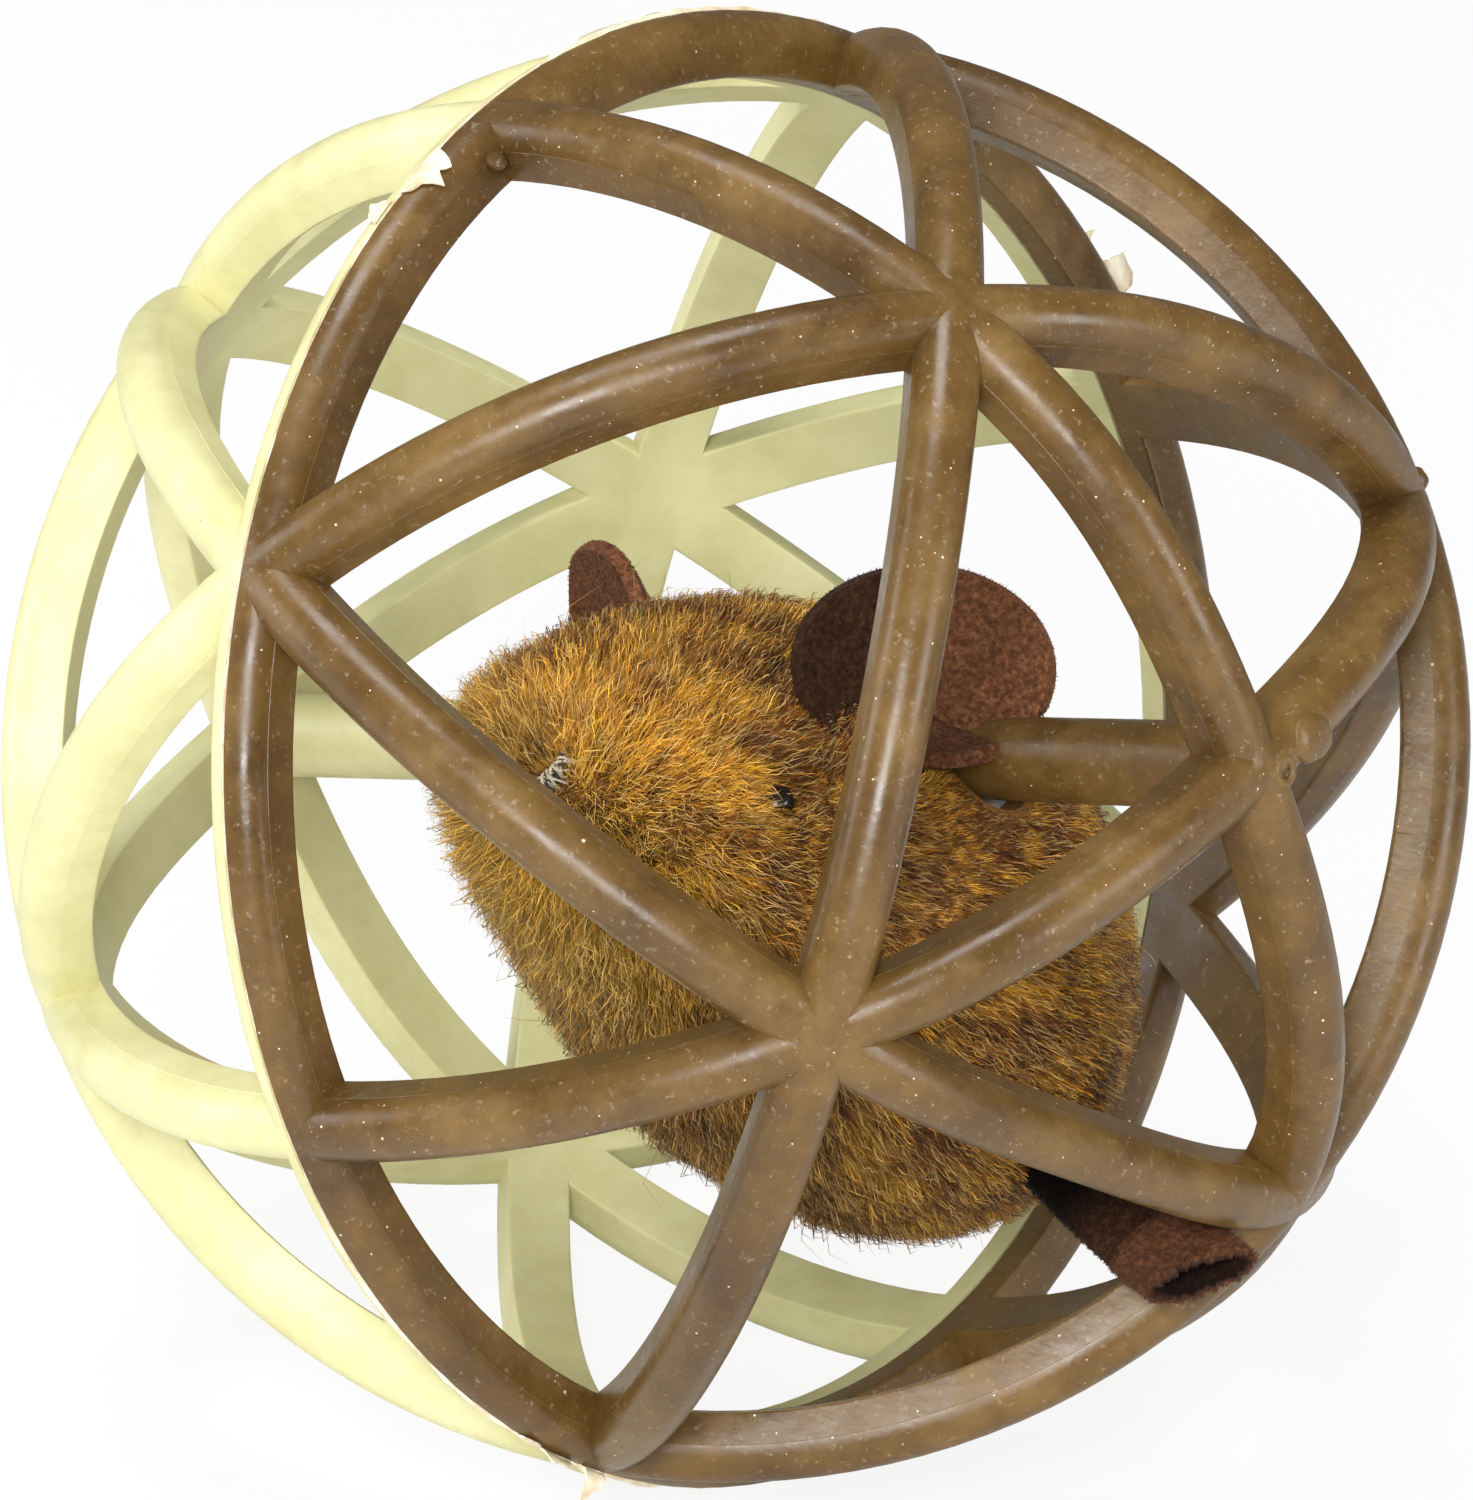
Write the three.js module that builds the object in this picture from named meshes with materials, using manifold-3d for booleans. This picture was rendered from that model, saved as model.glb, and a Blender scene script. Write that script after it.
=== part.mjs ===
// A cat's toy: a lattice ball of two moulded halves, with a plush mouse threaded on the axle inside.
// Sizes are in millimetres and angles in degrees. The origin is the ball's centre and +Z is up.

import * as THREE from 'three';
import { mergeVertices } from 'three/addons/utils/BufferGeometryUtils.js';
import Module from 'manifold-3d';

// Lattice ball
const BALL_RADIUS = 50;
const RIB_WIDTH = 4.6;
const RIB_DEPTH = 4.6;
const RIB_CROWN = 2.2;
const RIM_WIDTH = 1.7;
const RIM_CROWN = 2;
const GLUE_WIDTH = 0.4;
const GLUE_RECESS = 0.3;

// The axle draws both poles of the ball in, by less and less down to the nodes half way to the rim
const POLE_SINK = 2.6;
const POLE_SINK_REACH = 45;
const POLE_SINK_SHARPNESS = 3;

// Axle, moulded as a post on each half, with a spigot on the brown post and a socket in the cream one
const AXLE_ROOT_RADIUS = 2.95;
const AXLE_TIP_RADIUS = 2.65;
const SPIGOT_RADIUS = 1.3;
const SPIGOT_LENGTH = 8;

// Gap between pieces that touch, and the wider one between the plush and the axle that it turns on
const SEAT_GAP = 0.3;
const SPIN_CLEARANCE = 0.5;

// Plush mouse: its own axes are x to the nose, y to its left and z to its back
const BODY_BACK = 27.5;
const BODY_FRONT = 26.4;
const BODY_HALF_WIDTH = 22.8;
const BODY_HALF_HEIGHT = 18;
const BODY_TAPER = 1.03;
const BODY_BLUNTNESS = 0.5;
const NOSE_DROOP = 10.8;
const COVER_THICKNESS = 1.6;
const BELLY_DEPTH = 7;
const BELLY_SLOPE = 17;

// Where the mouse sits on the axle, and how it is turned there
const MOUSE_ALONG_AXLE = 4.9;
const MOUSE_BELOW_AXLE = 10.1;
const MOUSE_ASIDE = -0.7;
const MOUSE_PITCH = 30.6;
const MOUSE_ROLL = -22;
const MOUSE_YAW = -4.1;

// Pouch of dried catnip between the filling and the belly
const POUCH_LENGTH = 20;
const POUCH_WIDTH = 16;
const POUCH_THICKNESS = 9;
const POUCH_REACH = 3;

// Ears: round velour cups, the right one sewn in deeper
const EAR_WIDTH = 17;
const EAR_LENGTH = 14.2;
const EAR_CUP = 2;
const EAR_THICKNESS = 1.2;
const LEFT_EAR_TUCK = 2.2;
const RIGHT_EAR_TUCK = 5.6;

// Tail: a flattened velour tube, open at its tip
const TAIL_WIDTH = 7;
const TAIL_THICKNESS = 3;
const TAIL_WALL = 1;
const TAIL_TUCK = 1.5;

// Face
const EYE_DIAMETER = 2.4;
const EYE_THICKNESS = 1.5;
const NOSE_LENGTH = 6.4;
const NOSE_WIDTH = 2.6;
const NOSE_THICKNESS = 1.4;

// Facets of round shapes
const RING_STEPS = 48;
const CROWN_STEPS = 4;
const POST_STEPS = 20;
const BODY_STEPS_ALONG = 16;
const BODY_STEPS_AROUND = 24;
const EAR_STEPS = 18;
const EAR_RINGS = 3;
const TAIL_STEPS = 8;
const TAIL_SIDES = 6;
const BEAD_STEPS = 10;

// Points closer than this are one point, and the step along the plush that finds its outward direction
const SAME_POINT = 1e-4;
const PROBE_STEP = 1e-3;

// Spots on the plush: the share of the way from rump to nose, and the angle up from the left side
const LEFT_EYE_SPOT = { along: 0.873, around: 16 };
const RIGHT_EYE_SPOT = { along: 0.962, around: 95 };
const NOSE_SPOT = { along: 0.984, around: -40 };
const LEFT_EAR_SPOT = { along: 0.8, around: 47 };
const RIGHT_EAR_SPOT = { along: 0.7, around: 167 };
const TAIL_SPOT = { along: 0.168, around: 3 };

// Directions in the mouse's axes: the way that each ear stands and faces, and the nose stitches run
const LEFT_EAR_STANDS = new THREE.Vector3(0.28, -0.2, 0.94);
const LEFT_EAR_FACES = new THREE.Vector3(0.76, 0.64, -0.09);
const RIGHT_EAR_STANDS = new THREE.Vector3(0.749, -0.454, 0.483);
const RIGHT_EAR_FACES = new THREE.Vector3(0.429, -0.221, -0.875);
const NOSE_RUNS = new THREE.Vector3(0.2, 0, 1);

// The tail's way out through a gap of the lattice, in the ball's axes: the bend is that deep inside the
// ribs, and the tip is that deep below the ball's outside. The flat way is in the mouse's axes.
const TAIL_BEND_WAY = new THREE.Vector3(26.1, -29.6, 8);
const TAIL_BEND_DEPTH = 5.1;
const TAIL_TIP_WAY = new THREE.Vector3(34.7, -34, 10);
const TAIL_TIP_DEPTH = 0.4;
const TAIL_FLAT = new THREE.Vector3(-0.14, 0.41, 0.9);

// The ball rests in the middle of a small lattice triangle, whose sides span 45, 45 and 60 degrees
const REST_DIRECTION = new THREE.Vector3(-1, -2 - Math.sqrt(3), 1).normalize();

const AXLE = new THREE.Vector3(1, 0, 0);
const LATHE_AXIS = new THREE.Vector3(0, 1, 0);
const RIB_INNER_RADIUS = BALL_RADIUS - RIB_DEPTH;
const SEAM_WIDTH = GLUE_WIDTH + 2 * SEAT_GAP;
const POST_ROOT = BALL_RADIUS - RIB_CROWN - POLE_SINK;
const CUT_SIZE = 4 * (BALL_RADIUS + BODY_BACK + BODY_FRONT);

const wasm = await Module();
wasm.setup();

const radians = THREE.MathUtils.degToRad;

// Turns a closed geometry into a solid that can be joined and cut
function solidOf(geometry) {
  const bare = geometry.clone();
  bare.deleteAttribute('normal');
  bare.deleteAttribute('uv');
  const merged = mergeVertices(bare, SAME_POINT);
  const corners = merged.index.array;
  const triVerts = [];
  for (let i = 0; i < corners.length; i += 3) {
    const [a, b, c] = corners.slice(i, i + 3);
    if (a !== b && b !== c && c !== a) triVerts.push(a, b, c);
  }
  return new wasm.Manifold(new wasm.Mesh({
    numProp: 3,
    vertProperties: new Float32Array(merged.attributes.position.array),
    triVerts: new Uint32Array(triVerts),
  }));
}

// Turns a solid back into a geometry
function geometryOf(solid) {
  const mesh = solid.getMesh();
  const geometry = new THREE.BufferGeometry();
  geometry.setAttribute('position', new THREE.BufferAttribute(new Float32Array(mesh.vertProperties), 3));
  geometry.setIndex(new THREE.BufferAttribute(new Uint32Array(mesh.triVerts), 1));
  return geometry;
}

function material(color, roughness) {
  return new THREE.MeshStandardMaterial({ color, roughness, metalness: 0 });
}

function meshOf(name, solid, finish) {
  const geometry = geometryOf(solid);
  geometry.computeVertexNormals();
  const mesh = new THREE.Mesh(geometry, finish);
  mesh.name = name;
  return mesh;
}

// A lathe shape whose axis is turned to a direction
function turned(profile, steps, direction) {
  const facing = new THREE.Quaternion().setFromUnitVectors(LATHE_AXIS, direction.clone().normalize());
  return solidOf(new THREE.LatheGeometry(profile, steps).applyQuaternion(facing));
}

// Everything on one side of a plane through a point
function halfSpace(point, normal) {
  const facing = new THREE.Quaternion().setFromUnitVectors(AXLE, normal.clone().normalize());
  const box = new THREE.BoxGeometry(CUT_SIZE, CUT_SIZE, CUT_SIZE);
  box.translate(CUT_SIZE / 2, 0, 0);
  box.applyQuaternion(facing);
  box.translate(point.x, point.y, point.z);
  return solidOf(box);
}

// A hoop on the ball's surface, with flat sides and inside and a rounded outside
function hoop(width, crown, normal) {
  const side = width / 2;
  const profile = [new THREE.Vector2(RIB_INNER_RADIUS, -side)];
  for (let i = 0; i <= CROWN_STEPS; i += 1) {
    const turn = Math.PI * (i / CROWN_STEPS - 0.5);
    const radius = BALL_RADIUS - crown + crown * Math.cos(turn);
    profile.push(new THREE.Vector2(radius, side * Math.sin(turn)));
  }
  profile.push(new THREE.Vector2(RIB_INNER_RADIUS, side));
  profile.push(profile[0].clone());
  return turned(profile, RING_STEPS, normal);
}

// The ribs lie on the two upright hoops through the poles and on four hoops tilted between all three
function lattice() {
  const normals = [
    new THREE.Vector3(0, 1, 0),
    new THREE.Vector3(0, 0, 1),
    new THREE.Vector3(1, 1, 1),
    new THREE.Vector3(1, 1, -1),
    new THREE.Vector3(1, -1, 1),
    new THREE.Vector3(1, -1, -1),
  ];
  const rim = hoop(2 * RIM_WIDTH + SEAM_WIDTH, RIM_CROWN, AXLE);
  const ribs = normals.reduce((cage, normal) => cage.add(hoop(RIB_WIDTH, RIB_CROWN, normal)), rim);
  return ribs.warp(sinkPole);
}

// Moves a point of the lattice inwards along the axle, if it lies near a pole
function sinkPole(point) {
  const start = Math.cos(radians(POLE_SINK_REACH));
  const nearness = (Math.abs(point[0]) / Math.hypot(...point) - start) / (1 - start);
  point[0] -= Math.sign(point[0]) * POLE_SINK * Math.max(nearness, 0) ** POLE_SINK_SHARPNESS;
}

// The brown half's post, with the spigot that joins it to the other post
function spigotPost() {
  const profile = [
    new THREE.Vector2(0, -SPIGOT_LENGTH),
    new THREE.Vector2(SPIGOT_RADIUS, -SPIGOT_LENGTH),
    new THREE.Vector2(SPIGOT_RADIUS, SEAT_GAP / 2),
    new THREE.Vector2(AXLE_TIP_RADIUS, SEAT_GAP / 2),
    new THREE.Vector2(AXLE_ROOT_RADIUS, POST_ROOT),
    new THREE.Vector2(0, POST_ROOT),
  ];
  return turned(profile, POST_STEPS, AXLE);
}

// The cream half's post, with the socket that takes the spigot
function socketPost() {
  const floor = SPIGOT_LENGTH + SEAT_GAP;
  const profile = [
    new THREE.Vector2(0, floor),
    new THREE.Vector2(SPIGOT_RADIUS + SEAT_GAP, floor),
    new THREE.Vector2(SPIGOT_RADIUS + SEAT_GAP, SEAT_GAP / 2),
    new THREE.Vector2(AXLE_TIP_RADIUS, SEAT_GAP / 2),
    new THREE.Vector2(AXLE_ROOT_RADIUS, POST_ROOT),
    new THREE.Vector2(0, POST_ROOT),
  ];
  return turned(profile, POST_STEPS, AXLE.clone().negate());
}

// The line of glue between the two rims
function seamGlue() {
  const inner = RIB_INNER_RADIUS + GLUE_RECESS;
  const outer = BALL_RADIUS - GLUE_RECESS;
  const side = GLUE_WIDTH / 2;
  const profile = [
    new THREE.Vector2(inner, -side),
    new THREE.Vector2(outer, -side),
    new THREE.Vector2(outer, side),
    new THREE.Vector2(inner, side),
    new THREE.Vector2(inner, -side),
  ];
  return turned(profile, RING_STEPS, AXLE);
}

// A point on the plush, or that far inside it
function bodyPoint(along, around, inset) {
  const swell = Math.max(Math.sin(Math.PI * along ** BODY_TAPER), 0) ** BODY_BLUNTNESS;
  const x = THREE.MathUtils.lerp(inset - BODY_BACK, BODY_FRONT - inset, along);
  const droop = NOSE_DROOP * (Math.max(x, 0) / BODY_FRONT) ** 2;
  const y = (BODY_HALF_WIDTH - inset) * swell * Math.cos(around);
  const z = (BODY_HALF_HEIGHT - inset) * swell * Math.sin(around) - droop;
  return new THREE.Vector3(x, y, z);
}

// The plush's swelling body as a solid, drawn in by an inset
function bodySolid(inset) {
  const corners = [];
  for (let i = 0; i <= BODY_STEPS_ALONG; i += 1) {
    const along = 0.5 - 0.5 * Math.cos((Math.PI * i) / BODY_STEPS_ALONG);
    for (let j = 0; j < BODY_STEPS_AROUND; j += 1) {
      corners.push(...bodyPoint(along, (2 * Math.PI * j) / BODY_STEPS_AROUND, inset).toArray());
    }
  }
  const faces = [];
  for (let i = 0; i < BODY_STEPS_ALONG; i += 1) {
    for (let j = 0; j < BODY_STEPS_AROUND; j += 1) {
      const next = (j + 1) % BODY_STEPS_AROUND;
      const a = i * BODY_STEPS_AROUND + j;
      const b = i * BODY_STEPS_AROUND + next;
      const c = a + BODY_STEPS_AROUND;
      const d = b + BODY_STEPS_AROUND;
      faces.push(a, b, c, b, d, c);
    }
  }
  const geometry = new THREE.BufferGeometry();
  geometry.setAttribute('position', new THREE.Float32BufferAttribute(corners, 3));
  geometry.setIndex(faces);
  return solidOf(geometry);
}

// A spot on the plush with its outward direction
function seat(spot) {
  const around = radians(spot.around);
  const point = bodyPoint(spot.along, around, 0);
  const onward = bodyPoint(spot.along + PROBE_STEP, around, 0).sub(point);
  const sideways = bodyPoint(spot.along, around + PROBE_STEP, 0).sub(point);
  const outward = sideways.cross(onward).normalize();
  return { point, outward };
}

// A bead that lies on the plush, long in one direction
function bead(spot, length, width, thickness, runs) {
  const { point, outward } = seat(spot);
  const across = new THREE.Vector3().crossVectors(outward, runs).normalize();
  const lengthwise = new THREE.Vector3().crossVectors(across, outward);
  const geometry = new THREE.SphereGeometry(0.5, BEAD_STEPS, BEAD_STEPS / 2);
  geometry.scale(length, width, thickness);
  geometry.applyMatrix4(new THREE.Matrix4().makeBasis(lengthwise, across, outward));
  const centre = point.addScaledVector(outward, SEAT_GAP + thickness / 2);
  geometry.translate(centre.x, centre.y, centre.z);
  return solidOf(geometry);
}

// A cupped round ear that stands on the plush
function ear(spot, stands, faces, tuck) {
  const inner = [];
  const outer = [];
  for (let i = 0; i <= EAR_RINGS; i += 1) {
    const radius = i / (2 * EAR_RINGS);
    const rise = EAR_CUP * (i / EAR_RINGS) ** 2;
    inner.push(new THREE.Vector2(radius, rise + EAR_THICKNESS / 2));
    outer.push(new THREE.Vector2(radius, rise - EAR_THICKNESS / 2));
  }
  const geometry = new THREE.LatheGeometry([...outer, ...inner.reverse()], EAR_STEPS);
  geometry.scale(EAR_WIDTH, 1, EAR_LENGTH);
  const upright = stands.clone().normalize();
  const facing = faces.clone().projectOnPlane(upright).normalize();
  const across = new THREE.Vector3().crossVectors(facing, upright);
  geometry.applyMatrix4(new THREE.Matrix4().makeBasis(across, facing, upright));
  const centre = seat(spot).point.addScaledVector(upright, EAR_LENGTH / 2 - tuck);
  centre.addScaledVector(facing, -EAR_CUP);
  geometry.translate(centre.x, centre.y, centre.z);
  return solidOf(geometry);
}

// The tail's tube, whose flat way is turned to one direction at the tip
function tail(intoMouse) {
  const { point, outward } = seat(TAIL_SPOT);
  const root = point.addScaledVector(outward, -TAIL_TUCK);
  const bend = TAIL_BEND_WAY.clone().setLength(RIB_INNER_RADIUS - TAIL_BEND_DEPTH).applyMatrix4(intoMouse);
  const tip = TAIL_TIP_WAY.clone().setLength(BALL_RADIUS - TAIL_TIP_DEPTH).applyMatrix4(intoMouse);
  const path = new THREE.QuadraticBezierCurve3(root, bend, tip);
  const frames = path.computeFrenetFrames(TAIL_STEPS, false);
  const flat = TAIL_FLAT.clone().normalize();
  const twist = Math.atan2(flat.dot(frames.binormals[TAIL_STEPS]), flat.dot(frames.normals[TAIL_STEPS]));
  const section = new THREE.Shape();
  section.absellipse(0, 0, TAIL_WIDTH / 2, TAIL_THICKNESS / 2, 0, 2 * Math.PI, false, twist);
  const bore = new THREE.Path();
  const boreWidth = TAIL_WIDTH / 2 - TAIL_WALL;
  const boreThickness = TAIL_THICKNESS / 2 - TAIL_WALL;
  bore.absellipse(0, 0, boreWidth, boreThickness, 0, 2 * Math.PI, true, twist);
  section.holes.push(bore);
  return solidOf(new THREE.ExtrudeGeometry(section, {
    extrudePath: path,
    steps: TAIL_STEPS,
    curveSegments: TAIL_SIDES,
  }));
}

// The pouch, an oval pillow that shows on the filling's underside
function pouch(growth) {
  const geometry = new THREE.SphereGeometry(0.5, 2 * BEAD_STEPS, BEAD_STEPS);
  geometry.scale(POUCH_LENGTH + 2 * growth, POUCH_WIDTH + 2 * growth, POUCH_THICKNESS + 2 * growth);
  geometry.translate(0, 0, POUCH_REACH - BODY_HALF_HEIGHT + POUCH_THICKNESS / 2 - COVER_THICKNESS);
  return solidOf(geometry);
}

// Places the mouse below the axle, straight down in the rest position
function mousePlacement() {
  const hang = -Math.atan2(REST_DIRECTION.z, -REST_DIRECTION.y);
  const below = new THREE.Matrix4().makeRotationX(hang);
  const sideways = new THREE.Matrix4().makeBasis(
    new THREE.Vector3(0, 1, 0),
    new THREE.Vector3(1, 0, 0),
    new THREE.Vector3(0, 0, -1),
  );
  const lean = new THREE.Euler(radians(MOUSE_PITCH), radians(MOUSE_ROLL), radians(MOUSE_YAW), 'XZY');
  const turn = new THREE.Matrix4().makeRotationFromEuler(lean).multiply(sideways);
  turn.setPosition(MOUSE_ALONG_AXLE, -MOUSE_BELOW_AXLE, MOUSE_ASIDE);
  return below.multiply(turn);
}

// Stands the ball on its rest triangle, with the axle's brown end to +X
function ballPlacement() {
  const up = REST_DIRECTION.clone().negate();
  const forward = AXLE.clone().projectOnPlane(up).normalize();
  const left = new THREE.Vector3().crossVectors(up, forward);
  return new THREE.Matrix4().makeBasis(forward, left, up).transpose();
}

const brownPlastic = material(0x7a5c40, 0.42);
const creamPlastic = material(0xded8a0, 0.5);
const glue = material(0xd8d2b8, 0.35);
const fur = material(0xa06a28, 0.95);
const velour = material(0x5a3428, 0.9);

const ball = new THREE.Group();
ball.applyMatrix4(ballPlacement());

const cage = lattice();
const seamSide = new THREE.Vector3(SEAM_WIDTH / 2, 0, 0);
const brownHalf = cage.intersect(halfSpace(seamSide, AXLE)).add(spigotPost());
const creamHalf = cage
  .intersect(halfSpace(seamSide.clone().negate(), AXLE.clone().negate()))
  .add(socketPost());
ball.add(meshOf('brown_half_cage', brownHalf, brownPlastic));
ball.add(meshOf('cream_half_cage', creamHalf, creamPlastic));
ball.add(meshOf('seam_glue', seamGlue(), glue));

const mouse = new THREE.Group();
const placement = mousePlacement();
mouse.applyMatrix4(placement);
ball.add(mouse);

// The axle's clearance through the plush, brought into the mouse's axes
const passageRadius = AXLE_ROOT_RADIUS + SPIN_CLEARANCE;
const passageShape = new THREE.CylinderGeometry(passageRadius, passageRadius, 2 * BALL_RADIUS, POST_STEPS);
passageShape.rotateZ(Math.PI / 2);
const intoMouse = placement.clone().invert();
passageShape.applyMatrix4(intoMouse);
const passage = solidOf(passageShape);

const skin = bodySolid(0);
const lining = bodySolid(COVER_THICKNESS);
const cover = skin.subtract(lining).subtract(passage);
const LEFT = new THREE.Vector3(0, 1, 0);
const slope = radians(BELLY_SLOPE);
const overBelly = new THREE.Vector3(Math.sin(slope), 0, Math.cos(slope));
const bellyLine = new THREE.Vector3(0, 0, -BELLY_DEPTH);
const upperCover = cover.intersect(halfSpace(bellyLine, overBelly));
const bellyEdge = bellyLine.clone().addScaledVector(overBelly, -SEAT_GAP);
const bellyCover = cover.intersect(halfSpace(bellyEdge, overBelly.clone().negate()));
const leftEdge = LEFT.clone().multiplyScalar(SEAT_GAP / 2);
const leftCover = upperCover.intersect(halfSpace(leftEdge, LEFT));
const rightCover = upperCover.intersect(halfSpace(leftEdge.clone().negate(), LEFT.clone().negate()));
mouse.add(meshOf('left_side_panel', leftCover, fur.clone()));
mouse.add(meshOf('right_side_panel', rightCover, fur.clone()));
mouse.add(meshOf('belly_panel', bellyCover, fur.clone()));

const stuffing = bodySolid(COVER_THICKNESS + SEAT_GAP);
const filling = stuffing.subtract(passage).subtract(pouch(SEAT_GAP));
mouse.add(meshOf('fibre_filling', filling, material(0xe8e4da, 1)));
mouse.add(meshOf('catnip_pouch', pouch(0).intersect(stuffing), material(0x7c8a4c, 1)));

// Ears and tail are cut where they meet the plush, and the ears also where they meet the axle
const plush = bodySolid(-SEAT_GAP);
const earCut = plush.add(passage);
const leftCup = ear(LEFT_EAR_SPOT, LEFT_EAR_STANDS, LEFT_EAR_FACES, LEFT_EAR_TUCK);
const rightCup = ear(RIGHT_EAR_SPOT, RIGHT_EAR_STANDS, RIGHT_EAR_FACES, RIGHT_EAR_TUCK);
mouse.add(meshOf('left_ear', leftCup.subtract(earCut), velour.clone()));
mouse.add(meshOf('right_ear', rightCup.subtract(earCut), velour.clone()));
mouse.add(meshOf('tail', tail(intoMouse).subtract(plush), velour.clone()));

const eyeBlack = material(0x101010, 0.25);
const forward = new THREE.Vector3(1, 0, 0);
const leftEye = bead(LEFT_EYE_SPOT, EYE_DIAMETER, EYE_DIAMETER, EYE_THICKNESS, forward);
const rightEye = bead(RIGHT_EYE_SPOT, EYE_DIAMETER, EYE_DIAMETER, EYE_THICKNESS, forward);
const nose = bead(NOSE_SPOT, NOSE_LENGTH, NOSE_WIDTH, NOSE_THICKNESS, NOSE_RUNS);
mouse.add(meshOf('left_eye', leftEye, eyeBlack));
mouse.add(meshOf('right_eye', rightEye, eyeBlack.clone()));
mouse.add(meshOf('nose_stitches', nose, material(0x3a362e, 0.9)));

export default ball;
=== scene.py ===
"""Looks of a cat's lattice ball with a plush mouse on its axle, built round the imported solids."""

import logging
import math
from collections.abc import Callable, Sequence
from dataclasses import dataclass
from enum import Enum

import bpy
import numpy as np
from mathutils import Matrix, Vector, noise
from mathutils.kdtree import KDTree


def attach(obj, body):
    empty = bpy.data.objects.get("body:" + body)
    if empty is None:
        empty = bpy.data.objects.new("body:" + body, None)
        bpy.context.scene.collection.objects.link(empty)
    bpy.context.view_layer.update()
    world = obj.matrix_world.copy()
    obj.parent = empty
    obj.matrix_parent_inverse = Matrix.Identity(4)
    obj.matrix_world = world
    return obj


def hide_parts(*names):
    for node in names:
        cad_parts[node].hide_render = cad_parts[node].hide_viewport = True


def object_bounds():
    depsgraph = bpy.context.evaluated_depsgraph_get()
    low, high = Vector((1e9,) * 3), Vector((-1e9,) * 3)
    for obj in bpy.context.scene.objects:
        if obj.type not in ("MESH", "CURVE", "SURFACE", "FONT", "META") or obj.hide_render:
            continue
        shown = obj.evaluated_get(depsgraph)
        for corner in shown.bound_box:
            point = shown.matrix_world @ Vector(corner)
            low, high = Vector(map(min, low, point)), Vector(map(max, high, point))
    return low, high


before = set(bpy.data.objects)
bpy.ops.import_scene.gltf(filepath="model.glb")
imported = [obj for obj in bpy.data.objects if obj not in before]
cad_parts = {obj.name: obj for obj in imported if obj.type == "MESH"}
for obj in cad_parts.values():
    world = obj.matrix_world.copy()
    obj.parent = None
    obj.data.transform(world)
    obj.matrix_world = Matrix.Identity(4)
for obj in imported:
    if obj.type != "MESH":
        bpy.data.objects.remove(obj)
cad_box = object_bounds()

Array = np.ndarray
Piece = bpy.types.Object
Socket = bpy.types.NodeSocket
Rgba = tuple[float, float, float, float]
Way3 = tuple[float, float, float]

MM = 0.001
SAME_POINT = 1e-6
STRAND_MAP = "OFBake"
STRAND_COLOUR = "strand_colour"
CLOTH_COLOUR = "cloth_colour"
AXLE = Vector((1.0, 0.0, 0.0))
REST_DIRECTION = Vector((-1.0, -2.0 - math.sqrt(3.0), 1.0)).normalized()

log = logging.getLogger("looks")


def tint(red: float, green: float, blue: float) -> Rgba:
    """Turns a display colour into the linear one that shaders use.

    Args:
        red: Red from 0 to 255.
        green: Green from 0 to 255.
        blue: Blue from 0 to 255.

    Returns:
        The linear colour, opaque.
    """
    shares = np.array((red, green, blue)) / 255.0
    linear = np.where(shares > 0.04045, ((shares + 0.055) / 1.055) ** 2.4, shares / 12.92)
    return (float(linear[0]), float(linear[1]), float(linear[2]), 1.0)


def ball_turn() -> Matrix:
    """Gives the turn from the ball's own axes, with x along the axle, to the part's."""
    up = -REST_DIRECTION
    forward = (AXLE - up * AXLE.dot(up)).normalized()
    return Matrix((forward, up.cross(forward), up))


@dataclass(frozen=True)
class MouseSeat:
    """Where the mouse hangs on the axle, in millimetres and degrees."""

    along_axle: float = 4.9
    below_axle: float = 10.1
    aside: float = -0.7
    pitch: float = 30.6
    roll: float = -22.0
    yaw: float = -4.1

    def in_ball(self) -> Matrix:
        """Gives the mouse's place in the ball's axes.

        Returns:
            The matrix from the mouse's axes (nose, left side, back) to the ball's.
        """
        hang = -math.atan2(REST_DIRECTION.z, -REST_DIRECTION.y)
        sideways = Matrix(((0.0, 1.0, 0.0), (1.0, 0.0, 0.0), (0.0, 0.0, -1.0)))
        lean = Matrix.Rotation(math.radians(self.pitch), 3, "X")
        lean = lean @ Matrix.Rotation(math.radians(self.yaw), 3, "Z")
        lean = lean @ Matrix.Rotation(math.radians(self.roll), 3, "Y")
        seat = Matrix.Translation((self.along_axle, -self.below_axle, self.aside))
        return Matrix.Rotation(hang, 4, "X") @ seat @ (lean @ sideways).to_4x4()


BALL = Matrix.Scale(MM, 4) @ ball_turn().to_4x4()
MOUSE_IN_BALL = MouseSeat().in_ball()
MOUSE = BALL @ MOUSE_IN_BALL


def placed(points: Array, place: Matrix) -> Array:
    """Moves points by a matrix.

    Args:
        points: Rows of three numbers.
        place: The matrix to move them by.

    Returns:
        The moved rows.
    """
    turn = np.array(place.to_3x3())
    return points @ turn.T + np.array(place.to_translation())


def unit(rows: Array) -> Array:
    """Gives each row the length of one."""
    return rows / np.maximum(np.linalg.norm(rows, axis=-1, keepdims=True), 1e-12)


def share_of(value: Array, start: float, end: float) -> Array:
    """Goes from 0 to 1 as a value goes from start to end, and stays level before and after."""
    return np.clip((value - start) / (end - start), 0.0, 1.0)


def blended(first: Array, second: Array, share: Array) -> Array:
    """Goes from one row or set of rows to another by a share for each."""
    return first + (second - first) * share[:, None]


def along_skin(ways: Array, outward: Array) -> Array:
    """Takes the part of each way that lies along the surface."""
    return ways - outward * np.sum(ways * outward, axis=1, keepdims=True)


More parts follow.
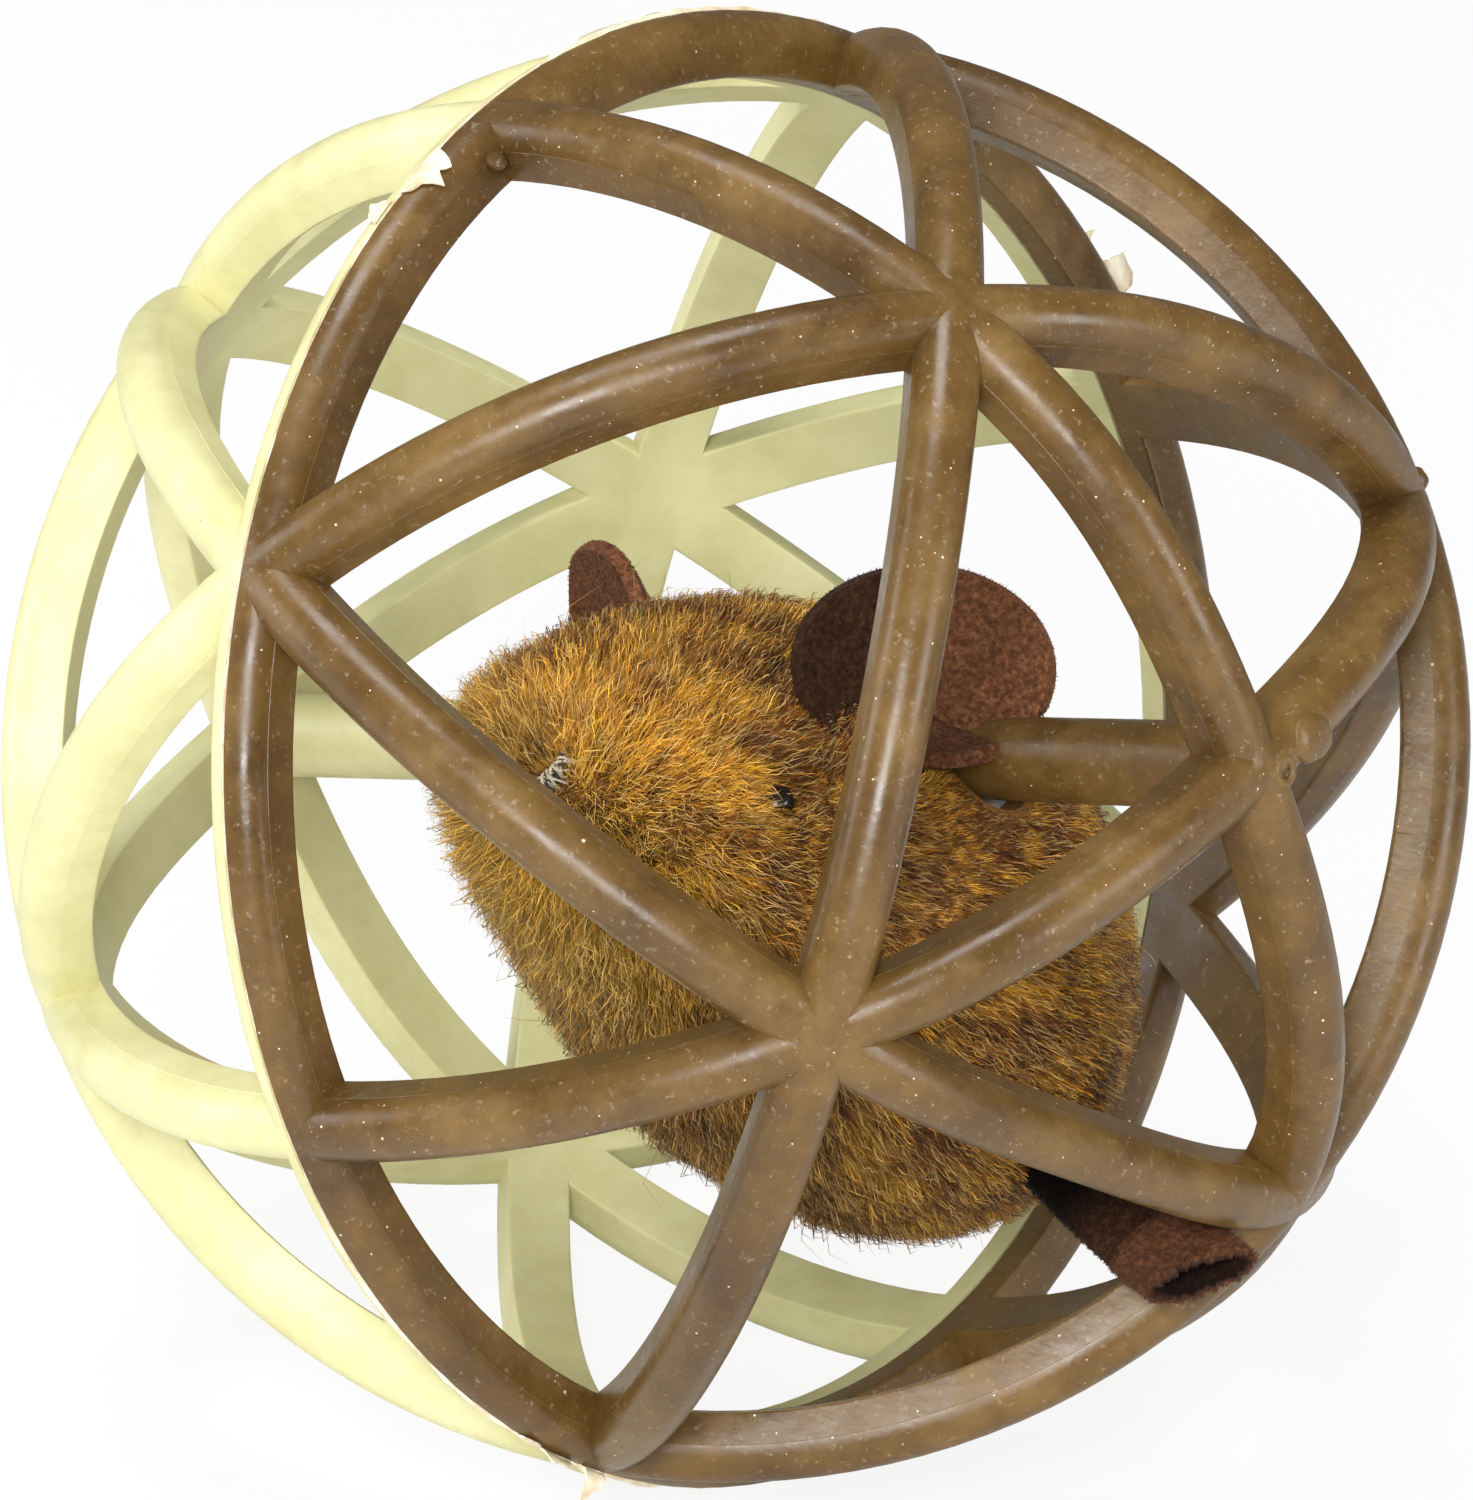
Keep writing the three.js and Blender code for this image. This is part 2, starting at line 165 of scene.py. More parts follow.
def bowed(start: Array, top: Array, end: Array, share: Array) -> tuple[Array, Array]:
    """Follows a bow from start to end that is drawn towards its top.

    Args:
        start: Where the bow begins.
        top: The place that it is drawn towards.
        end: Where it ends.
        share: Shares of the way, from 0 to 1.

    Returns:
        The places along the bow and its direction there.
    """
    rest = 1 - share
    line = np.outer(rest**2, start) + np.outer(2 * share * rest, top) + np.outer(share**2, end)
    return line, unit(np.outer(rest, top - start) + np.outer(share, end - top))


def facing(way: Vector) -> Matrix:
    """Gives the turn that points the z axis along a way."""
    return way.to_track_quat("Z", "Y").to_matrix().to_4x4()


def blotches(points: Array, size: float, shift: float) -> Array:
    """Gives a smooth random number, about -1 to 1, at each point.

    Args:
        points: Rows of three numbers in millimetres.
        size: How large the blotches are, in millimetres.
        shift: Moves the pattern, so that two of them differ.

    Returns:
        One number a row.
    """
    spots = points / size + shift
    return np.array([noise.noise(Vector(spot)) for spot in spots])


def deselect() -> None:
    """Leaves edit mode and drops every selection."""
    if bpy.context.object is not None and bpy.context.object.mode != "OBJECT":
        bpy.ops.object.mode_set(mode="OBJECT")
    bpy.ops.object.select_all(action="DESELECT")


def take(piece: Piece) -> Piece:
    """Makes a piece the only one selected, and the active one."""
    deselect()
    piece.select_set(True)
    bpy.context.view_layer.objects.active = piece
    return piece


def named(piece: Piece, name: str) -> Piece:
    """Names a piece and its mesh."""
    piece.name = name
    piece.data.name = name
    return piece


def fresh(name: str, add: Callable[..., set[str]], **sizes: object) -> tuple[Piece, Array]:
    """Adds a primitive with nothing else selected.

    Args:
        name: The new piece's name.
        add: The operator that adds it.
        **sizes: What the operator is told.

    Returns:
        The piece and its points.
    """
    deselect()
    add(**sizes)
    piece = named(bpy.context.object, name)
    return piece, corners_of(piece)


def settle(piece: Piece) -> Piece:
    """Puts a piece's place, turn and scale into its mesh."""
    take(piece)
    bpy.ops.object.transform_apply(location=True, rotation=True, scale=True)
    return piece


def corners_of(piece: Piece) -> Array:
    """Reads a piece's points as rows."""
    found = np.empty(len(piece.data.vertices) * 3)
    piece.data.vertices.foreach_get("co", found)
    return found.reshape(-1, 3)


def reshape(piece: Piece, points: Array) -> Piece:
    """Moves a piece's points to new places."""
    piece.data.vertices.foreach_set("co", np.ascontiguousarray(points, dtype=np.float64).ravel())
    piece.data.update()
    return piece


def edit_all(piece: Piece) -> None:
    """Opens a piece in edit mode with everything in it selected."""
    take(piece)
    bpy.ops.object.mode_set(mode="EDIT")
    bpy.ops.mesh.select_all(action="SELECT")


def tidy_mesh(piece: Piece) -> Piece:
    """Merges points that coincide and turns every face outwards."""
    edit_all(piece)
    bpy.ops.mesh.remove_doubles(threshold=SAME_POINT)
    bpy.ops.mesh.normals_make_consistent(inside=False)
    bpy.ops.object.mode_set(mode="OBJECT")
    return piece


def apply_modifiers(piece: Piece) -> Piece:
    """Applies every modifier of a piece, in order."""
    take(piece)
    for modifier in list(piece.modifiers):
        bpy.ops.object.modifier_apply(modifier=modifier.name)
    return piece


def thicken(piece: Piece, thickness: float, offset: float) -> Piece:
    """Gives an open sheet its thickness, in millimetres, to one side or both."""
    wall = piece.modifiers.new("wall", "SOLIDIFY")
    wall.thickness = thickness * MM
    wall.offset = offset
    wall.use_even_offset = True
    return apply_modifiers(piece)


def smooth(piece: Piece, angle: float) -> Piece:
    """Shades a piece smooth, except over edges sharper than an angle in degrees."""
    take(piece)
    bpy.ops.object.shade_smooth_by_angle(angle=math.radians(angle))
    return piece


def copy_of(piece: Piece, name: str) -> Piece:
    """Makes a copy of a piece with its own mesh."""
    twin = piece.copy()
    twin.data = piece.data.copy()
    bpy.context.scene.collection.objects.link(twin)
    return named(twin, name)


class Way(Enum):
    """How two closed shapes are combined."""

    JOIN = "UNION"
    CUT = "DIFFERENCE"


def combine(body: Piece, tool: Piece, way: Way) -> Piece:
    """Joins a closed shape to another, or cuts it with the other, which is used up.

    Args:
        body: The shape that stays.
        tool: The other shape.
        way: Join or cut.

    Returns:
        The changed shape.
    """
    change = body.modifiers.new("combine", "BOOLEAN")
    change.operation = way.value
    change.object = tool
    change.solver = "MANIFOLD"
    apply_modifiers(body)
    bpy.data.objects.remove(tool)
    return body


def joined(name: str, pieces: Sequence[Piece]) -> Piece:
    """Makes several loose meshes one piece."""
    take(pieces[0])
    for piece in pieces:
        piece.select_set(True)
    bpy.ops.object.join()
    return named(bpy.context.object, name)


def pointed(piece: Piece, axis: Vector) -> Piece:
    """Turns a piece that was made along z to lie along another axis."""
    turn = Vector((0.0, 0.0, 1.0)).rotation_difference(axis)
    piece.data.transform(turn.to_matrix().to_4x4())
    return piece


def spun(name: str, outline: Sequence[tuple[float, float]], axis: Vector, steps: int) -> Piece:
    """Spins a closed outline round an axis through the ball's middle.

    Args:
        name: The new piece's name.
        outline: Corners as (distance from the axis, way along it), in millimetres.
        axis: The axis, in the part's frame.
        steps: Steps of the full turn.

    Returns:
        The closed shape.
    """
    piece, _ = fresh(name, bpy.ops.mesh.primitive_circle_add, vertices=len(outline), radius=MM)
    section = [(radius * MM, 0.0, along * MM) for radius, along in outline]
    edit_all(reshape(piece, np.array(section)))
    bpy.ops.mesh.spin(steps=steps, angle=math.tau, center=(0.0, 0.0, 0.0), axis=(0.0, 0.0, 1.0))
    return pointed(tidy_mesh(piece), axis)


class Shader:
    """A material in the making, with short ways to add nodes and join them."""

    def __init__(self, name: str) -> None:
        """Starts a material of that name."""
        self.material = bpy.data.materials.new(name)
        self.material.use_nodes = True
        self.nodes = self.material.node_tree.nodes
        self.links = self.material.node_tree.links
        self.surface = self.nodes["Principled BSDF"]
        self.place = self.nodes.new("ShaderNodeTexCoord").outputs["Object"]

    def feed(self, socket: Socket, value: Socket | float | Rgba) -> None:
        """Joins a socket to another, or sets it to a plain value."""
        if isinstance(value, bpy.types.NodeSocket):
            self.links.new(value, socket)
        else:
            socket.default_value = value

    def add(self, kind: str, values: dict, **options: str) -> bpy.types.Node:
        """Adds a node.

        Args:
            kind: The node's type.
            values: What goes into its sockets, by name or number.
            **options: Choices on the node itself.

        Returns:
            The node.
        """
        node = self.nodes.new(kind)
        for option, choice in options.items():
            setattr(node, option, choice)
        for socket, value in values.items():
            self.feed(node.inputs[socket], value)
        return node

    def settings(self, values: dict) -> None:
        """Sets or joins the surface's own sockets."""
        for socket, value in values.items():
            self.feed(self.surface.inputs[socket], value)

    def turned(self, scale: Way3, angles: Way3) -> Socket:
        """Gives the piece's place, turned and stretched."""
        values = {"Vector": self.place, "Scale": scale, "Rotation": angles}
        return self.add("ShaderNodeMapping", values).outputs[0]

    def noise(
        self, scale: float, detail: float, roughness: float = 0.55, place: Socket | None = None
    ) -> Socket:
        """Adds a cloudy pattern from 0 to 1.

        Args:
            scale: Clouds a metre.
            detail: How many finer patterns lie on it.
            roughness: How strong the finer ones are.
            place: Where it is read, or the piece's own place.

        Returns:
            The pattern.
        """
        values = {"Vector": place or self.place, "Scale": scale, "Detail": detail, "Roughness": roughness}
        return self.add("ShaderNodeTexNoise", values).outputs[0]

    def span(self, value: Socket, low: float, high: float, start: float = 0.0, end: float = 1.0) -> Socket:
        """Stretches a pattern so that low and high become start and end."""
        values = {"Value": value, "From Min": low, "From Max": high, "To Min": start, "To Max": end}
        return self.add("ShaderNodeMapRange", values).outputs[0]

    def times(self, first: Socket, second: Socket | float) -> Socket:
        """Multiplies two patterns."""
        return self.add("ShaderNodeMath", {0: first, 1: second}, operation="MULTIPLY").outputs[0]

    def specks(self, scale: float, size: float, share: float) -> Socket:
        """Adds scattered dots.

        Args:
            scale: Places for a dot a metre.
            size: A dot's radius, as a share of the distance between places.
            share: The share of places that have a dot.

        Returns:
            A pattern that is 1 in a dot and 0 elsewhere.
        """
        cells = self.add("ShaderNodeTexVoronoi", {"Vector": self.place, "Scale": scale})
        dots = self.span(cells.outputs["Distance"], size, size * 0.5)
        shades = self.add("ShaderNodeSeparateColor", {0: cells.outputs["Color"]})
        chosen = self.span(shades.outputs[0], 1.0 - share, 1.0 - share + 0.01)
        return self.times(dots, chosen)

    def ramp(self, value: Socket, stops: Sequence[tuple[float, Rgba]]) -> Socket:
        """Turns a pattern into colours.

        Args:
            value: The pattern.
            stops: Places from 0 to 1, each with its colour.

        Returns:
            The colours.
        """
        node = self.add("ShaderNodeValToRGB", {0: value})
        stones = node.color_ramp.elements
        while len(stones) < len(stops):
            stones.new(1.0)
        for stone, (place, colour) in zip(stones, stops):
            stone.position = place
            stone.color = colour
        return node.outputs[0]

    def mix(self, share: Socket, first: Socket | Rgba, second: Socket | Rgba, blend: str = "MIX") -> Socket:
        """Blends two colours by a pattern."""
        values = {0: share, 6: first, 7: second}
        return self.add("ShaderNodeMix", values, data_type="RGBA", blend_type=blend).outputs[2]

    def bump(self, height: Socket, distance: float, under: Socket | None = None) -> Socket:
        """Raises the surface by a pattern.

        Args:
            height: The pattern.
            distance: How high it stands, in millimetres.
            under: A coarser bump that this one lies on.

        Returns:
            The surface's direction.
        """
        values = {"Height": height, "Distance": distance * MM, "Strength": 1.0}
        if under is not None:
            values["Normal"] = under
        return self.add("ShaderNodeBump", values).outputs[0]

    def attribute(self, name: str) -> Socket:
        """Reads a colour that the mesh itself holds."""
        return self.add("ShaderNodeAttribute", {}, attribute_name=name).outputs["Color"]


@dataclass(frozen=True)
class MouldedPlastic:
    """Satin moulded plastic with clouds of pigment, scuffs and dust."""

    name: str
    shade: Rgba
    body: Rgba
    light: Rgba
    dust: Rgba
    dust_share: float
    roughness: float
    gloss: float

    def material(self) -> bpy.types.Material:
        """Makes the material.

        Returns:
            The material.
        """
        look = Shader(self.name)
        clouds = look.noise(90.0, 6.0, 0.68)
        streaks = look.noise(260.0, 4.0, 0.6, look.turned((1.0, 0.3, 1.0), (0.5, 0.3, 0.2)))
        colour = look.ramp(clouds, ((0.32, self.shade), (0.52, self.body), (0.72, self.light)))
        colour = look.mix(look.span(streaks, 0.56, 0.76, 0.0, 0.5), colour, self.light)
        colour = look.mix(look.span(streaks, 0.44, 0.3, 0.0, 0.45), colour, self.shade)
        grime = look.noise(1700.0, 3.0, 0.75)
        colour = look.mix(look.span(grime, 0.6, 0.78, 0.0, self.dust_share), colour, self.dust)
        for places, size in ((260.0, 0.042), (520.0, 0.06), (1000.0, 0.085)):
            colour = look.mix(look.specks(places, size, self.dust_share), colour, self.dust)
        scuffs = look.noise(900.0, 3.0, 0.65, look.turned((0.2, 1.0, 1.0), (0.2, 0.9, 0.5)))
        gloss = look.span(look.noise(180.0, 5.0, 0.7), 0.3, 0.7, self.roughness - 0.1, self.roughness + 0.16)
        relief = look.bump(look.noise(120.0, 2.0), 0.16)
        relief = look.bump(look.noise(420.0, 3.0), 0.05, relief)
        relief = look.bump(scuffs, 0.02, relief)
        look.settings({
            "Base Color": colour,
            "Roughness": gloss,
            "Normal": relief,
            "Specular IOR Level": self.gloss,
        })
        return look.material


@dataclass(frozen=True)
class SetGlue:
    """Half-clear set glue with milky patches."""

    name: str
    clear: Rgba
    milky: Rgba

    def material(self) -> bpy.types.Material:
        """Makes the material.

        Returns:
            The material.
        """
        look = Shader(self.name)
        colour = look.ramp(look.noise(420.0, 4.0, 0.65), ((0.35, self.clear), (0.62, self.milky)))
        relief = look.bump(look.noise(900.0, 3.0), 0.06)
        look.settings({"Base Color": colour, "Normal": relief, "Roughness": 0.24})
        return look.material


@dataclass(frozen=True)
class PileFibre:
    """Glossy fibre that takes its colour from the strand."""

    name: str
    roughness: float
    gloss: float

    def material(self) -> bpy.types.Material:
        """Makes the material.

        Returns:
            The material.
        """
        look = Shader(self.name)
        look.settings({
            "Base Color": look.attribute(STRAND_COLOUR),
            "Roughness": self.roughness,
            "Specular IOR Level": self.gloss,
        })
        return look.material


@dataclass(frozen=True)
class PileBacking:
    """The knitted ground that the pile grows from, as dark as the foot of the pile."""

    name: str
    dark: Rgba
    body: Rgba

    def material(self) -> bpy.types.Material:
        """Makes the material.

        Returns:
            The material.
        """
        look = Shader(self.name)
        tufts = look.noise(1100.0, 2.0, 0.7)
        patches = look.noise(110.0, 3.0)
        colour = look.ramp(tufts, ((0.35, self.dark), (0.65, self.body)))
        colour = look.mix(look.span(patches, 0.35, 0.65, 0.0, 0.6), colour, self.dark)
        look.settings({"Base Color": colour, "Roughness": 0.9, "Normal": look.bump(tufts, 0.4)})
        return look.material


@dataclass(frozen=True)
class VelourCloth:
    """Dark velour whose short nap shows as fine light and dark flecks."""

    name: str
    dark: Rgba
    body: Rgba
    light: Rgba

    def material(self) -> bpy.types.Material:
        """Makes the material.

        Returns:
            The material.
        """
        look = Shader(self.name)
        flecks = look.noise(2300.0, 2.0, 0.65)
        folds = look.noise(170.0, 3.0)
        colour = look.ramp(flecks, ((0.34, self.dark), (0.5, self.body), (0.68, self.light)))
        colour = look.mix(look.span(folds, 0.4, 0.75, 0.0, 0.5), colour, self.dark)
        # The cloth's painted tones multiply in; besides grain and the lighter cuff, they hold painted shade
        # on the ear and the tail.
        colour = look.mix(1.0, colour, look.attribute(CLOTH_COLOUR), "MULTIPLY")
        look.settings({
            "Base Color": colour,
            "Roughness": 0.85,
            "Normal": look.bump(flecks, 0.12),
            "Specular IOR Level": 0.1,
            "Sheen Weight": 0.06,
            "Sheen Roughness": 0.4,
        })
        return look.material


@dataclass(frozen=True)
class SewingThread:
    """Twisted thread, its colour held by the mesh."""

    name: str

    def material(self) -> bpy.types.Material:
        """Makes the material.

        Returns:
            The material.
        """
        look = Shader(self.name)
        fuzz = look.noise(5200.0, 2.0)
        worn = look.span(fuzz, 0.3, 0.8, 0.0, 0.4)
        colour = look.mix(worn, look.attribute(CLOTH_COLOUR), tint(150, 130, 100))
        look.settings({"Base Color": colour, "Roughness": 0.8, "Normal": look.bump(fuzz, 0.05)})
        return look.material


@dataclass(frozen=True)
class GlossBead:
    """Black glossy bead with faint scuffs."""

    name: str
    body: Rgba
    scuff: Rgba

    def material(self) -> bpy.types.Material:
        """Makes the material.

        Returns:
            The material.
        """
        look = Shader(self.name)
        marks = look.noise(2400.0, 3.0)
        colour = look.mix(look.span(marks, 0.6, 0.8, 0.0, 0.5), self.body, self.scuff)
        gloss = look.span(marks, 0.3, 0.8, 0.16, 0.4)
        look.settings({"Base Color": colour, "Roughness": gloss})
        return look.material


@dataclass(frozen=True)
class LooseFill:
    """Fluffy or leafy filling with two shades."""

    name: str
    dark: Rgba
    light: Rgba
    grain: float

    def material(self) -> bpy.types.Material:
        """Makes the material.

        Returns:
            The material.
        """
        look = Shader(self.name)
        fluff = look.noise(self.grain, 5.0, 0.7)
        colour = look.ramp(fluff, ((0.35, self.dark), (0.65, self.light)))
        look.settings({"Base Color": colour, "Roughness": 0.95, "Normal": look.bump(fluff, 0.5)})
        return look.material


def dress(piece: Piece, material: bpy.types.Material, body: str, slot: str, *nodes: str) -> Piece:
    """Gives a piece its material and body, and hides the solids that it stands for.

    Args:
        piece: The finished piece.
        material: Its material.
        body: The body that it rides on.
        slot: The record's material slot; not used.
        *nodes: The solids that it stands for.

    Returns:
        The piece.
    """
    piece.data.materials.clear()
    piece.data.materials.append(material)
    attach(piece, body)
    if nodes:
        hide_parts(*nodes)
    log.info("%s: %d faces", piece.name, len(piece.data.polygons))
    return piece


def paint(piece: Piece, colours: Array) -> None:
    """Stores one colour, or one grey, a point in a piece's mesh."""
    if colours.ndim == 1:
        colours = np.repeat(colours[:, None], 4, axis=1)
        colours[:, 3] = 1.0
    layer = piece.data.color_attributes.new(CLOTH_COLOUR, "FLOAT_COLOR", "POINT")
    layer.data.foreach_set("color", np.ascontiguousarray(colours, dtype=np.float32).ravel())


class Half(Enum):
    """The two mouldings of the ball, by the end of the axle that they hold."""

    BROWN = 1
    CREAM = -1


@dataclass
class LatticeBall:
    """The two glued halves of the lattice ball, with the axle's posts, in millimetres."""

    radius: float = 50.0
    rib_width: float = 4.6
    rib_depth: float = 4.6
    rib_crown: float = 2.2
    rim_width: float = 4.4
    rim_crown: float = 2.0
    pole_sink: float = 2.6
    sink_start: float = math.cos(math.radians(45.0))
    sink_sharpness: float = 3.0
    parting_step: float = 0.03
    inner_corner: float = 0.35
    crown_points: int = 13
    ring_steps: int = 132
    ring_shrink: float = 0.006
    seam_gap: float = 0.24
    post_root: float = 2.95
    post_tip: float = 2.65
    spigot_radius: float = 1.3
    spigot_length: float = 8.0
    seat_gap: float = 0.3
    post_steps: int = 48
    sharp_edge: float = 32.0
    bent_start: Way3 = (1.0, 0.0, 1.0)
    bent_end: Way3 = (1.0, -1.0, 0.0)
    bent_in: float = 2.4
    bent_half_width: float = 3.6
    bent_above: float = 40.0
    rib_ways: tuple[Way3, ...] = (
        (0.0, 1.0, 0.0),
        (0.0, 0.0, 1.0),
        (1.0, 1.0, 1.0),
        (1.0, 1.0, -1.0),
        (1.0, -1.0, 1.0),
        (1.0, -1.0, -1.0),
    )

    def outline(self, width: float, crown: float, shrink: float) -> list[tuple[float, float]]:
        """Draws a rib's section: flat inside, straight sides, a parting step and a round crown.

        Args:
            width: The rib's width.
            crown: How far the crown stands above the sides.
            shrink: How much smaller this ring is, so that no two ribs' faces coincide.

        Returns:
            The section's corners as (distance from the ball's middle, way to the side).
        """
        outside = self.radius - shrink
        inside = outside - self.rib_depth
        side = width / 2
        corner = self.inner_corner
        foot = [
            (inside, side - corner),
            (inside + 0.3 * corner, side - 0.3 * corner),
            (inside + corner, side),
            (outside - crown - self.parting_step, side),
        ]
        turns = np.linspace(-math.pi / 2, math.pi / 2, self.crown_points)
        shoulder = side - self.parting_step
        top = [(outside - crown + crown * math.cos(turn), shoulder * math.sin(turn)) for turn in turns]
        left_foot = [(distance, -way) for distance, way in foot]
        return left_foot + top + foot[::-1]

    def lattice(self) -> Piece:
        """Joins the rim and the six rib rings into one open ball.

        Returns:
            The ball, not yet parted.
        """
        turn = ball_turn()
        rim = self.outline(self.rim_width, self.rim_crown, 0.0)
        ball = spun("lattice", rim, turn @ AXLE, self.ring_steps)
        for count, way in enumerate(self.rib_ways, start=1):
            rib = self.outline(self.rib_width, self.rib_crown, count * self.ring_shrink)
            ring = spun("rib", rib, turn @ Vector(way).normalized(), self.ring_steps + count)
            combine(ball, ring, Way.JOIN)
        return self.sunk(ball)

    def sunk(self, ball: Piece) -> Piece:
        """Draws both poles of the ball in along the axle, and one rib that is bent in a little.

        Args:
            ball: The ball of even roundness.

        Returns:
            The same ball.
        """
        points = placed(corners_of(ball), BALL.inverted())
        nearness = np.abs(points[:, 0]) / np.linalg.norm(points, axis=1)
        share = share_of(nearness, self.sink_start, 1.0) ** self.sink_sharpness
        points[:, 0] -= np.sign(points[:, 0]) * self.pole_sink * share
        start, end = unit(np.array((self.bent_start, self.bent_end)))
        across = unit(np.cross(start, end))
        turn = np.arctan2(points @ np.cross(across, start), points @ start)
        span = math.acos(start @ end)
        bow = np.sin(np.pi * share_of(turn, 0.0, span)) ** 2
        bow = bow * np.clip(self.bent_half_width - np.abs(points @ across), 0.0, 1.0)
        bow = bow * (np.linalg.norm(points, axis=1) > self.bent_above)
        points -= unit(points) * (self.bent_in * bow)[:, None]
        return reshape(ball, placed(points, BALL))

    def post(self, half: Half) -> Piece:
        """Turns the axle's post of one half, with its spigot or its socket.

        Args:
            half: The half that carries it.

        Returns:
            The post.
        """
        root = self.radius - self.rib_crown - self.pole_sink
        seat = self.seat_gap / 2
        if half is Half.BROWN:
            end = [(0.0, -self.spigot_length), (self.spigot_radius, -self.spigot_length)]
            end += [(self.spigot_radius, seat), (self.post_tip, seat)]
        else:
            floor = self.spigot_length + self.seat_gap
            bore = self.spigot_radius + self.seat_gap
            end = [(0.0, floor), (bore, floor), (bore, seat), (self.post_tip, seat)]
        outline = end + [(self.post_root, root), (0.0, root)]
        return spun("post", outline, ball_turn() @ (AXLE * half.value), self.post_steps)

    def other_side(self, half: Half) -> Piece:
        """Makes the block that cuts away the other half.

        Args:
            half: The half that stays.

        Returns:
            The block.
        """
        size = 4.0 * self.radius
        middle = BALL @ (AXLE * (half.value * (self.seam_gap / 2 - size / 2)))
        turn = ball_turn().to_euler()
        cube = bpy.ops.mesh.primitive_cube_add
        return settle(fresh("other_side", cube, size=size * MM, location=middle, rotation=turn)[0])

    def build(self) -> dict[Half, Piece]:
        """Makes both halves.

        Returns:
            The finished meshes by half.
        """
        ball = self.lattice()
        halves = {}
        for half in Half:
            shell = copy_of(ball, f"{half.name.lower()}_lattice")
            combine(shell, self.other_side(half), Way.CUT)
            combine(shell, self.post(half), Way.JOIN)
            halves[half] = shell
        bpy.data.objects.remove(ball)
        return halves

    def finish(self, piece: Piece) -> Piece:
        """Shades a half smooth, with crisp parting lines."""
        smooth(piece, self.sharp_edge)
        even = piece.modifiers.new("even", "WEIGHTED_NORMAL")
        even.keep_sharp = True
        return apply_modifiers(piece)


def lump(name: str, way: Way3, height: float, size: Vector) -> Piece:
    """Makes a rounded, slightly crooked lump on the ball's outside.

    Args:
        name: The lump's name.
        way: Its direction from the ball's middle, in the ball's axes.
        height: How far out its middle lies, in millimetres.
        size: Its half sizes, the last one outwards.

    Returns:
        The lump.
    """
    piece, points = fresh(name, bpy.ops.mesh.primitive_ico_sphere_add, subdivisions=3, radius=1.0)
    points *= 1.0 + 0.16 * blotches(points, 0.7, 3.1)[:, None]
    outward = ball_turn() @ Vector(way).normalized()
    swell = Matrix.Diagonal((*(size * MM), 1.0))
    place = Matrix.Translation(outward * height * MM) @ facing(outward) @ swell
    return reshape(piece, placed(points, place))


@dataclass(frozen=True)
class Nick:
    """A fine groove across one side of a rib, in the ball's axes and millimetres."""

    way: Way3
    across: Way3
    depth: float
    width: float


@dataclass
class MouldMarks:
    """The gate mark, the torn sprue, the nub and the fine grooves on the brown half, in millimetres."""

    nicks: tuple[Nick, ...] = (
        Nick((0.816, -0.389, -0.427), (1.0, 1.0, 1.0), 0.14, 0.12),
        Nick((0.0, 0.757, -0.6534), (1.0, 0.0, 0.0), 0.3, 0.2),
        Nick((0.0, 0.742, -0.6704), (1.0, 0.0, 0.0), 0.3, 0.2),
    )
    nick_face: float = 2.25
    nick_height: float = 47.5
    nick_run: float = 6.0
    nick_block: float = 2.0
    blob_way: Way3 = (3.0, 47.85, 3.77)
    blob_size: Way3 = (1.2, 0.7, 0.5)
    gate_way: Way3 = (0.9995, -0.0196, -0.0237)
    gate_radius: float = 0.85
    gate_lip: float = 0.3
    gate_height: float = 47.25
    gate_points: int = 12
    gate_steps: int = 28
    nub_way: Way3 = (0.686, 0.008, -0.728)
    nub_radius: float = 0.95
    nub_height: float = 49.7
    stub_way: Way3 = (0.9947, -0.012, -0.102)
    stub_size: float = 4.4
    stub_height: float = 47.25

    def gate(self) -> Piece:
        """Makes the gate mark's raised lip."""
        turns = np.linspace(0.0, math.tau, self.gate_points, endpoint=False)
        lip = self.gate_lip
        outline = [
            (self.gate_radius + lip * math.cos(turn), self.gate_height + 0.7 * lip * math.sin(turn))
            for turn in turns
        ]
        return spun("gate", outline, ball_turn() @ Vector(self.gate_way).normalized(), self.gate_steps)

    def add_to(self, half: Piece) -> Piece:
        """Joins the marks to the brown half.

        Args:
            half: The brown half.

        Returns:
            The same half.
        """
        stub = Vector((self.stub_size / 2, self.stub_size / 2.6, 0.7))
        nub = Vector((self.nub_radius, self.nub_radius, self.nub_radius * 0.9))
        marks = [
            self.gate(),
            lump("stub", self.stub_way, self.stub_height, stub),
            lump("nub", self.nub_way, self.nub_height, nub),
            lump("blob", self.blob_way, Vector(self.blob_way).length, Vector(self.blob_size)),
        ]
        for mark in marks:
            combine(half, mark, Way.JOIN)
        for nick in self.nicks:
            combine(half, self.groove(nick), Way.CUT)
        return half

    def groove(self, nick: Nick) -> Piece:
        """Makes the block that cuts a groove.

        Args:
            nick: The groove's place.

        Returns:
            The block.
        """
        outward = (ball_turn() @ Vector(nick.way)).normalized()
        across = (ball_turn() @ Vector(nick.across)).normalized()
        aside = self.nick_face + self.nick_block / 2.0 - nick.depth
        middle = outward * self.nick_height + across * aside
        turn = Matrix((outward, across, outward.cross(across))).transposed().to_4x4()
        size = Matrix.Diagonal((self.nick_run * MM, self.nick_block * MM, nick.width * MM, 1.0))
        block, points = fresh("groove", bpy.ops.mesh.primitive_cube_add, size=1.0)
        return reshape(block, placed(points, Matrix.Translation(middle * MM) @ turn @ size))


@dataclass(frozen=True)
class Flake:
    """A scrap of set glue that stands off the seam, in millimetres and degrees."""

    angle: float
    length: float
    width: float
    lean: float
    side: float


